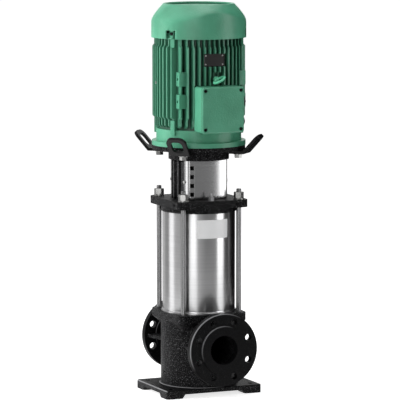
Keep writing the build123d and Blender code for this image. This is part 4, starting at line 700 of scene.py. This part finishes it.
class PUMP_OT_finishes(Operator):
    """Gives every CAD node that stays in view its procedural material"""

    bl_idname = "pump.finishes"
    bl_label = "Finishes"

    def execute(self, context):
        colours = context.scene.pump_colours
        slot_finishes_and_painted_edges = {
            "green_paint": green_enamel(colours),
            "black_casting": cast_black(colours),
            "black_steel": smooth_black(colours),
            "stainless_sheet": brushed_sheet(colours, "brushed_guard", 0.21, 0.6),
            "zinc_steel": zinc_plate(colours),
            "stainless": plain_metal("turned_steel", (0.46, 0.46, 0.47)),
            "dark_steel": plain_metal("dark_steel", (0.14, 0.14, 0.15), 0.4),
            "bronze": plain_metal("bronze", (0.45, 0.27, 0.11)),
            "carbon": moulded("carbon", (0.03, 0.03, 0.033), 0.3),
            "rubber": moulded("rubber", (0.02, 0.02, 0.02), 0.65),
            "black_plastic": moulded("black_plastic", (0.025, 0.025, 0.027), 0.45),
            "laminations": stacked_sheet(),
            "copper": wound_wire(),
            "label_pale": pale_foil(),
            "plate_dark": dark_plate(),
        }
        # lighter copy of the green enamel for the eye ring: painted light, brighter than the same
        # paint elsewhere
        green_enamel(colours, "eye_enamel_painted_light", tone=2.0)
        green_enamel(colours, "frame_enamel", (0.106, 0.135))
        sheet = brushed_sheet(colours)
        own = {"tie_rods": drawn_bar(colours), "outer_sleeve": sheet, "sleeve_base_ring": sheet}
        for node in ("gauge_plug", "drain_plug", "plate_plugs", "cowl_screws", "cover_screws"):
            own[node] = slot_finishes_and_painted_edges["black_steel"]
        for subpart in frame["record"]["subparts"]:
            node, slot = subpart["node"], subpart["material_slot"]
            mesh = frame["nodes"][node].data
            mesh.materials.clear()
            mesh.materials.append(own.get(node, slot_finishes_and_painted_edges[slot]))
        return {"FINISHED"}


def finish(name):
    """A material that the finishes step made."""
    return bpy.data.materials[name]


class PUMP_OT_castings(Operator):
    """Rounds the edges of the castings, the frame and the bent steel"""

    bl_idname = "pump.castings"
    bl_label = "Castings and frame"

    def execute(self, context):
        for node, material, width, segments, slot in (
            ("pump_housing", "cast_black_paint", 0.0022, 2, "black_casting"),
            ("lantern", "cast_black_paint", 0.0014, 2, "black_casting"),
            ("drive_end_shield", "green_enamel", 0.0012, 2, "green_paint"),
            ("motor_frame", "frame_enamel", 0.0003, 2, "green_paint"),
            ("fan_end_shield", "green_enamel", 0.0008, 2, "green_paint"),
            ("terminal_box", "green_enamel", 0.0015, 2, "green_paint"),
            ("terminal_cover", "green_enamel", 0.0028, 2, "green_paint"),
            ("lifting_lugs", "smooth_black_paint", 0.0024, 3, "black_steel"),
        ):
            softened(node, finish(material), width, segments)
        return {"FINISHED"}


class PUMP_OT_cowl(Operator):
    """Builds the fan cowl: a skirt, a shoulder whose crease climbs between the screws, and a rim"""

    bl_idname = "pump.cowl"
    bl_label = "Fan cowl"

    def execute(self, context):
        cowl = context.scene.pump_cowl
        top = COWL_BOX[1][2]
        angles, kinds = self.columns(cowl)
        heights = self.rows(cowl)
        edge = self.rim(cowl, top, angles)
        skin = around(self.wall(cowl, heights, angles, kinds), heights, angles)
        points = np.concatenate([skin, edge]).reshape(-1, 3)
        faces = grid_faces(len(heights) + len(edge), len(angles))
        row, column = faces[:, 0] // len(angles), faces[:, 0] % len(angles)
        beside = (kinds[column] == OPEN) | (kinds[(column + 1) % len(angles)] == OPEN)
        low = np.searchsorted(heights, cowl.notch_bottom) - 1
        high = np.searchsorted(heights, cowl.notch_top) - 1
        cut = beside & (row >= low) & (row <= high)
        green = finish("green_enamel")
        piece = mesh_piece("cowl_shell", points, faces[~cut], green, "green_paint", crease=50)
        sheet_metal(piece, cowl.wall)
        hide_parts("fan_cowl")
        self.grille(cowl, top)
        return {"FINISHED"}

    def wall(self, cowl, heights, angles, kinds):
        """Radius at each height and direction: the soft minimum of the skirt and of a bowed line
        from the climbing crease to the rim, but the skirt below the notch's top and, on a tongue,
        a flat face."""
        radius, top, bow, k = COWL_BOX[1][0], COWL_BOX[1][2], 0.0022, cowl.softness
        level = heights[:, None]
        crease = cowl.shoulder_low + cowl.shoulder_rise * self.climb(angles)
        slope = (radius - cowl.rim_radius) / (top - crease)
        line = cowl.rim_radius + (top - level) * slope[None, :]
        line = line + bow * np.sin(np.pi * np.clip((level - crease) / (top - crease), 0, 1))
        wall = -k * np.log(np.exp(-radius / k) + np.exp(-line / k))
        wall = np.where(level <= cowl.notch_top + 0.001, radius, wall)
        in_notch = (level > cowl.notch_bottom) & (level < cowl.notch_top)
        flat = cowl.tongue_face / np.cos(self.off_screw(angles))
        return np.where(in_notch & (kinds == TONGUE)[None, :], flat[None, :], wall)

    def off_screw(self, angles):
        """Signed turn from the nearest screw."""
        gap = (angles[:, None] - COWL_SCREWS[None, :] + np.pi) % (2 * np.pi) - np.pi
        return gap[np.arange(len(angles)), np.abs(gap).argmin(1)]

    def climb(self, angles):
        """0 at the screws, 1 in the middle of the two wide spans and a third in the narrow ones."""
        turn = np.degrees(angles) % 180
        wide = np.sin(np.pi * np.clip((turn - 30) / 120, 0, 1)) ** 2
        near = np.where(turn < 90, turn, turn - 180)
        narrow = 0.35 * np.cos(np.pi / 2 * np.clip(near / 30, -1, 1)) ** 2
        return np.where((turn >= 30) & (turn <= 150), wide, narrow)

    def columns(self, cowl):
        """Directions round the cowl and the kind of each, tight at the notches."""
        radius, tiny, spacing = COWL_BOX[1][0], 0.0004, 2.2
        half = math.asin(cowl.notch_width / 2 / radius)
        tongue = math.asin(cowl.tongue_width / 2 / radius)
        angles, kinds = [], []
        for screw, following in zip(COWL_SCREWS, [*COWL_SCREWS[1:], COWL_SCREWS[0] + 2 * np.pi]):
            span = following - screw
            wall = np.linspace(screw + half, following - half, int(np.degrees(span) / spacing))
            angles += [screw - half, screw - half + tiny, screw - tongue - tiny]
            angles += list(screw + np.linspace(-tongue, tongue, 4))
            angles += [screw + tongue + tiny, screw + half - tiny, screw + half]
            angles += list(wall[1:-1])
            kinds += [WALL, OPEN, OPEN] + [TONGUE] * 4 + [OPEN, OPEN, WALL]
            kinds += [WALL] * (len(wall) - 2)
        return np.array(angles), np.array(kinds)

    def rows(self, cowl):
        """Heights up the wall, tight at the notch edges."""
        bottom, top, tiny = COWL_BOX[0][2], COWL_BOX[1][2], 0.0003
        low, high = cowl.notch_bottom, cowl.notch_top
        notch = [bottom, bottom + 0.001, low, low + tiny, (low + high) / 2, high - tiny, high]
        return np.concatenate([notch, np.linspace(high + 0.003, top, 44)])

    def rim(self, cowl, top, angles):
        """Rounded land inside the top edge, down to the grille."""
        land, rounding = cowl.rim_width, 0.0015
        inward = np.array([0.0012, land - rounding, land, land])
        drops = np.array([0.0, 0.0, rounding, cowl.grille_drop])
        return around((cowl.rim_radius - inward)[:, None], top - drops, angles)

    def grille(self, cowl, top):
        """Rings and four spokes with rounded bars, and a hub, set below the rim."""
        level = top - cowl.grille_drop - 0.0015
        half_height, ring_half, spoke_half, ring_pitch = 0.0012, 0.004, 0.0035, 0.018
        hub, hub_middle, spoke_start = 0.013, 0.0145, 0.012
        outer = cowl.rim_radius - cowl.rim_width
        section = full_turn(10)
        parts = []
        for number in range(5):
            radius = outer - 0.001 - number * ring_pitch
            widths = radius - ring_half + ring_half * np.cos(section)
            ring = np.stack([widths, level + half_height * np.sin(section)], -1)
            parts.append((turned(ring, 96), grid_faces(10, 96, True, True)))
        for turn in np.radians([22, 112, 202, 292]):
            along = np.array([math.cos(turn), math.sin(turn)])
            across = np.array([-along[1], along[0]]) * (spoke_half * np.cos(section))[:, None]
            bar = [
                np.column_stack([along * distance + across, level + half_height * np.sin(section)])
                for distance in (spoke_start, outer)
            ]
            parts.append((np.concatenate(bar), grid_faces(2, 10)))
        over, under = level + half_height, level - half_height
        button = [(0.0, over), (hub, over), (hub_middle, level), (hub, under), (0.0, under)]
        parts.append((turned(button, 32), grid_faces(5, 32)))
        points, faces = joined(parts)
        piece = mesh_piece("cowl_grille", points, faces, finish("green_enamel"), "green_paint")
        recalculated(piece)
        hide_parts("fan_cowl")


class PUMP_OT_guards(Operator):
    """Builds the two coupling guards: a shallow curved sheet, bent back to a lip along each edge"""

    bl_idname = "pump.guards"
    bl_label = "Coupling guards"

    def execute(self, context):
        sizes = context.scene.pump_guard
        half_hole = sizes.hole_size / 2
        path, length = self.path(sizes)
        for node, name, turn in (
            ("coupling_guard_front", "guard_front", 1),
            ("coupling_guard_rear", "guard_rear", -1),
        ):
            low, high = (corner[2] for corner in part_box(node))
            count = 4 if turn > 0 else 0
            holes = sizes.hole_pitch * (np.arange(count) - 1.5) + (low + high) / 2 - 0.003
            heights = np.unique([low, high, *(holes - half_hole), *(holes + half_hole)])
            points = np.concatenate(
                [np.column_stack([path * turn, np.full(len(path), z)]) for z in heights]
            )
            faces = grid_faces(len(heights), len(path), False)
            row, column = faces[:, 0] // len(path), faces[:, 0] % len(path)
            middle = (heights[row] + heights[row + 1]) / 2
            beside = (length[column] + length[column + 1]) / 2
            start = length[np.abs(path[:, 0] + sizes.hole_edge).argmin()]
            pierced = (beside > start) & (beside < start + sizes.hole_size)
            pierced &= (np.abs(middle[:, None] - holes[None, :]) < half_hole).any(1)
            brushed = finish("brushed_guard")
            piece = mesh_piece(name, points, faces[~pierced], brushed, "stainless_sheet")
            sheet_metal(piece, sizes.wall).use_even_offset = True
            flat_faces(piece)
            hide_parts(node)
        return {"FINISHED"}

    def path(self, sizes):
        """Points across the sheet: lip, rounded bend, flat flank, arc about a centre behind the
        shaft, and the same mirrored; and the length along it at each point."""
        rounding = 0.0015
        half = math.radians(sizes.arc_half_angle)
        turns = np.linspace(0, half, 16)
        arc = np.column_stack(
            [sizes.curve * np.sin(turns), sizes.curve_centre - sizes.curve * np.cos(turns)]
        )
        flank = sizes.flank_end - arc[-1, 0]
        corner = np.array([sizes.flank_end, arc[-1, 1] + flank * math.tan(half)])
        bend, edge = (
            distance * np.array([math.sin(angle), -math.cos(angle)])
            for distance, angle in (
                (sizes.bend_radius, sizes.bend_angle),
                (sizes.lip_radius, sizes.lip_angle),
            )
        )
        before = corner - (corner - arc[-1]) / np.linalg.norm(corner - arc[-1]) * rounding
        after = corner + (bend - corner) / np.linalg.norm(bend - corner) * rounding
        t = np.linspace(0, 1, 7)[:, None]
        round_bend = before * (1 - t) ** 2 + corner * 2 * t * (1 - t) + after * t**2
        hole = sizes.hole_edge - np.array([0.5, 1.0]) * sizes.hole_size
        curved = sizes.curve_centre - np.sqrt(sizes.curve**2 - hole**2)
        straight = arc[-1, 1] + (hole - arc[-1, 0]) * math.tan(half)
        hole = np.column_stack([hole, np.where(hole < arc[-1, 0], curved, straight)])
        front = np.concatenate([arc, hole])
        front = front[np.argsort(front[:, 0])]
        half_path = np.concatenate([front, round_bend, [bend, edge]])
        path = np.concatenate([half_path[::-1] * [-1, 1], half_path[1:]])
        step = np.linalg.norm(np.diff(path, axis=0), axis=1)
        return path, np.concatenate([[0], np.cumsum(step)])


class PUMP_OT_sleeve(Operator):
    """Builds the brushed sleeve with a rolled edge at each end"""

    bl_idname = "pump.sleeve"
    bl_label = "Outer sleeve"

    def execute(self, context):
        radius, bottom, top = SLEEVE_BOX[1][0], SLEEVE_BOX[0][2], SLEEVE_BOX[1][2]
        inner = radius - 0.0025
        profile = [
            (inner, bottom),
            (radius, bottom),
            *self.groove(radius, bottom + 0.0155),
            (radius, (bottom + top) / 2),
            *self.groove(radius, top - 0.0085),
            (radius, top),
            (inner, top),
        ]
        points, faces = turned(profile, 256), grid_faces(len(profile), 256, True, True)
        piece = mesh_piece("sleeve_shell", points, faces, finish("brushed_sheet"), "stainless")
        recalculated(piece)
        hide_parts("outer_sleeve")
        return {"FINISHED"}

    def groove(self, radius, level):
        """Profile of a shallow V that a roller leaves, 3 mm wide."""
        return [(radius, level - 0.0015), (radius - 0.0006, level), (radius, level + 0.0015)]


class PUMP_OT_tie_rods(Operator):
    """Builds the threaded tie rods, their nuts and washers"""

    bl_idname = "pump.tie_rods"
    bl_label = "Tie rods, nuts and washers"

    def execute(self, context):
        sizes = context.scene.pump_hardware
        bore, bevel = ROD_RADIUS + ROD_CLEARANCE, 0.0006
        bottom, top = ROD_BOX[0][2], ROD_BOX[1][2]
        thread = (top - sizes.thread_length, sizes.thread_pitch, sizes.thread_depth)
        rods, nuts, washers = [], [], []
        for centre in rod_centres():
            rods.append(threaded_rod(centre, ROD_RADIUS, bottom, top, *thread))
            nuts.append(hexagon_nut(centre, sizes.nut_flats, NUT_BOX[0][2], NUT_BOX[1][2], bore))
            outer = (WASHER_BOX[1][0] - WASHER_BOX[0][0]) / 2 - abs(centre[0])
            low, high = WASHER_BOX[0][2], WASHER_BOX[1][2]
            profile = [
                (bore, low),
                (outer, low),
                (outer, high - bevel),
                (outer - bevel, high),
                (bore, high),
            ]
            washers.append((turned(profile, 40, centre), grid_faces(5, 40, True, True)))
        for name, parts, material, node, slot in (
            ("rod_bars", rods, "drawn_bar", "tie_rods", "stainless"),
            ("rod_nuts", nuts, "zinc_plate", "tie_rod_nuts", "zinc_steel"),
            ("rod_washers", washers, "zinc_plate", "tie_rod_washers", "zinc_steel"),
        ):
            piece = recalculated(mesh_piece(name, *joined(parts), finish(material), slot))
            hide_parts(node)
        return {"FINISHED"}


class PUMP_OT_eye_bolt(Operator):
    """Builds the eye bolt: a forged ring on a collared shank. The ring's points are its centre plus
    a circle in its tilted plane plus a small circle across it"""

    bl_idname = "pump.eye_bolt"
    bl_label = "Eye bolt"

    def execute(self, context):
        sizes = context.scene.pump_hardware
        across = np.array([0.0, 1.0, 0.0])
        normal = np.array([-math.sin(sizes.eye_tilt), 0.0, math.cos(sizes.eye_tilt)])
        side = np.cross(normal, across)
        turn, section = full_turn(64)[:, None], full_turn(20)[None, :, None]
        out = np.cos(turn) * across + np.sin(turn) * side
        half = sizes.eye_wire / 2
        ring = (
            EYE_CENTRE
            + out[:, None, :] * (sizes.eye_radius + half * np.cos(section))
            + normal[None, None, :] * (half * np.sin(section))
        )
        shank, collar, collar_face, tip = 0.005, 0.0085, -0.1145, -0.1215
        profile = [
            (0.0, EYE_BOX[1][1]),
            (shank, EYE_BOX[1][1]),
            (shank, collar_face),
            (collar, collar_face),
            (collar, collar_face - 0.003),
            (0.0060, -0.1190),
            (0.0052, tip),
            (0.0, tip),
        ]
        stem = turned(profile, 32)[:, [0, 2, 1]] + np.array([0.0, 0.0, EYE_CENTRE[2]])
        parts = [
            (ring.reshape(-1, 3), grid_faces(64, 20, True, True)),
            (stem, grid_faces(len(profile), 32)),
        ]
        # the eye ring's enamel is the lighter copy, painted light
        green = finish("eye_enamel_painted_light")
        piece = recalculated(mesh_piece("eye_ring", *joined(parts), green, "green_paint"))
        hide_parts("eye_bolt")
        return {"FINISHED"}


class PUMP_OT_plate(Operator):
    """Builds the bare plate on the fins: a flat sheet whose rim rises as the root of a ridge, and a
    domed rivet near each corner, its height the cosine of the angle from its middle"""

    bl_idname = "pump.plate"
    bl_label = "Motor plate"

    def execute(self, context):
        (left, front, low), (right, back, high) = PLATE_BOX
        columns, rows, ridge_reach, ridge_height = 93, 55, 0.0012, 0.0007
        x, z = np.meshgrid(np.linspace(left, right, columns), np.linspace(low, high, rows))
        edge = np.minimum.reduce([x - left, right - x, z - low, high - z])
        ridge = np.clip(1 - np.abs(edge - ridge_reach) / ridge_reach, 0, 1) ** 0.5
        skin = np.stack([x, front + ridge_height - ridge_height * ridge, z], -1)
        rear = skin[[0, -1]][:, [0, -1]].copy().reshape(-1, 3)
        rear[:, 1] = back
        points = np.concatenate([skin.reshape(-1, 3), rear])
        total = rows * columns
        last = total - columns
        walls = [
            [*range(columns), total + 1, total],
            [0, total, total + 2, *range(last, 0, -columns)],
            [*range(total - 1, last - 1, -1), total + 2, total + 3],
            [*range(columns - 1, total, columns), total + 3, total + 1],
            [total, total + 1, total + 3, total + 2],
        ]
        faces = grid_faces(rows, columns, False).tolist() + walls
        piece = mesh_piece("plate_face", points, faces, finish("dark_plate"), "plate_dark")
        recalculated(piece)
        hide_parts("motor_plate")
        self.rivets(front, (left, right), (low, high))
        return {"FINISHED"}

    def rivets(self, front, sides, levels):
        radius, height, sunk, inset = 0.0024, 0.0008, 0.0003, 0.0055
        turn = np.linspace(0, np.pi / 2, 5)
        profile = np.column_stack([radius * np.sin(turn), height * np.cos(turn)])
        dome = turned(np.concatenate([profile, [[radius, -sunk], [0.0, -sunk]]]), 20)
        parts = [
            (
                np.column_stack([x + dome[:, 0], front + height - dome[:, 2], z + dome[:, 1]]),
                grid_faces(7, 20),
            )
            for x in (sides[0] + inset, sides[1] - inset)
            for z in (levels[0] + inset, levels[1] - inset)
        ]
        zinc = finish("zinc_plate")
        recalculated(mesh_piece("plate_rivets", *joined(parts), zinc, "zinc_steel"))


class PUMP_OT_studio(Operator):
    """Sets up the pale floor, the soft lamps, the white surround and the camera"""

    bl_idname = "pump.studio"
    bl_label = "Studio and camera"

    def execute(self, context):
        stage = context.scene.pump_stage
        scene = context.scene
        scene.view_settings.view_transform = "Standard"
        self.floor()
        self.surround(scene)
        for name, side, distance, width, middle, power, reflected in LAMPS:
            lamp = self.softbox(name, width, LAMP_HEIGHT, power)
            lamp.location = self.toward(stage, side) * distance + Vector((0, 0, middle))
            aim = Vector((-lamp.location.x, -lamp.location.y, 0))
            lamp.rotation_euler = aim.to_track_quat("-Z", "Y").to_euler()
            lamp.visible_glossy = reflected
        self.softbox("overhead_softbox", 3.0, 3.0, 62).location = (0, 0, 3.4)
        for number, (start, end, grey) in enumerate(FLAGS):
            self.flag("flag_%d" % number, stage, start, end, grey)
        self.camera(scene, stage)
        return {"FINISHED"}

    def toward(self, stage, degrees_right):
        """Level direction so many degrees to the right of the camera, seen from the shaft."""
        turn = stage.azimuth + math.radians(degrees_right)
        return Vector((math.sin(turn), -math.cos(turn), 0))

    def softbox(self, name, width, height, power):
        """Rectangular lamp that the camera doesn't see."""
        light = bpy.data.lights.new(name, "AREA")
        light.shape = "RECTANGLE"
        light.size, light.size_y = width, height
        light.energy = power
        lamp = placed(name, light)
        lamp.visible_camera = False
        return lamp

    def flag(self, name, stage, start, end, grey):
        """Tall curved grey backdrop that leans in at the top, seen only in reflections."""
        steps, radius, lean = 24, 0.62, 0.3
        turns = stage.azimuth - math.pi / 2 + np.radians(np.linspace(start, end, steps))
        radii = radius * np.array([[1.0], [1.0], [lean]])
        points = around(radii, [0.002, 2.2, 2.6], turns).reshape(-1, 3)
        glow = Finish(
            name,
            (0, 0, 0),
            roughness=0.5,
            Specular_IOR_Level=0.0,
            Emission_Color=(grey, grey, grey, 1),
            Emission_Strength=1.0,
        )
        card = meshed(name, points, grid_faces(3, steps, False), glow.material)
        card.visible_camera = False
        card.visible_diffuse = False
        card.visible_transmission = False
        card.visible_shadow = False

    def floor(self):
        """Wide pale disc, lifted to white round the shadow where it is seen or reflected."""
        pale = Finish(
            "studio_floor",
            (0.86, 0.86, 0.86),
            roughness=0.9,
            Specular_IOR_Level=0.0,
            Emission_Color=(1, 1, 1, 1),
        )
        points = turned([(0.0, 0.0), (2.0, 0.0), (60.0, 0.0)], 64)
        meshed("studio_floor", points, grid_faces(3, 64), pale.material)
        length = pale.node("ShaderNodeVectorMath", operation="LENGTH")
        pale.wire(pale.place, length.inputs[0])
        rise = pale.spread(length.outputs["Value"], 0.74, 1.0, 0.5, 3.0)
        glow = pale.times(self.seen(pale.tree), rise)
        pale.wire(glow, pale.shader.inputs["Emission Strength"])

    def seen(self, tree):
        """1 for camera, glossy and transmission rays, and 0 for the rest."""
        rays = tree.nodes.new("ShaderNodeLightPath").outputs
        mirrored = maths(tree, "MAXIMUM", rays["Is Glossy Ray"], rays["Is Transmission Ray"])
        return maths(tree, "MAXIMUM", rays["Is Camera Ray"], mirrored)

    def surround(self, scene):
        """World: white where it is seen, a faint grey light for the rest."""
        world = bpy.data.worlds.new("studio_surround")
        scene.world = world
        world.use_nodes = True
        tree = world.node_tree
        background = tree.nodes["Background"]
        background.inputs["Color"].default_value = (1, 1, 1, 1)
        strength = maths(tree, "MAXIMUM", self.seen(tree), 0.04)
        tree.links.new(strength, background.inputs["Strength"])

    def camera(self, scene, stage):
        """Camera at the photograph's angle, aimed at the shaft and shifted sideways."""
        data = bpy.data.cameras.new("camera")
        data.sensor_width = 36
        data.lens = stage.lens
        data.shift_x = stage.shift
        camera = placed("camera", data)
        camera.location = self.toward(stage, 0) * stage.distance + Vector((0, 0, stage.height))
        aim = Vector((0, 0, stage.aim)) - camera.location
        camera.rotation_euler = aim.to_track_quat("-Z", "Y").to_euler()
        scene.camera = camera


class PUMP_PT_panel(Panel):
    """Sizes, colours and steps of the pump"""

    bl_label = "Vertical multistage pump"
    bl_idname = "PUMP_PT_panel"
    bl_space_type = "VIEW_3D"
    bl_region_type = "UI"
    bl_category = "Pump"

    def draw(self, context):
        for _, group in GROUPS:
            box = self.layout.box()
            owner = getattr(context.scene, group)
            for name in owner.__annotations__:
                box.prop(owner, name)
        for step in STEPS:
            self.layout.operator(step.bl_idname)


STEPS = (
    PUMP_OT_finishes,
    PUMP_OT_castings,
    PUMP_OT_cowl,
    PUMP_OT_guards,
    PUMP_OT_sleeve,
    PUMP_OT_tie_rods,
    PUMP_OT_eye_bolt,
    PUMP_OT_plate,
    PUMP_OT_studio,
)
GROUPS = (
    (PumpColours, "pump_colours"),
    (PumpCowl, "pump_cowl"),
    (PumpGuard, "pump_guard"),
    (PumpHardware, "pump_hardware"),
    (PumpStage, "pump_stage"),
)


def register():
    for group, name in GROUPS:
        bpy.utils.register_class(group)
        setattr(bpy.types.Scene, name, PointerProperty(type=group))
    for step in STEPS:
        bpy.utils.register_class(step)
    bpy.utils.register_class(PUMP_PT_panel)


def unregister():
    bpy.utils.unregister_class(PUMP_PT_panel)
    for step in reversed(STEPS):
        bpy.utils.unregister_class(step)
    for group, name in reversed(GROUPS):
        delattr(bpy.types.Scene, name)
        bpy.utils.unregister_class(group)


def main():
    register()
    for step in STEPS:
        family, name = step.bl_idname.split(".")
        getattr(getattr(bpy.ops, family), name)()
    bpy.context.view_layer.update()


if __name__ == "__main__":
    main()
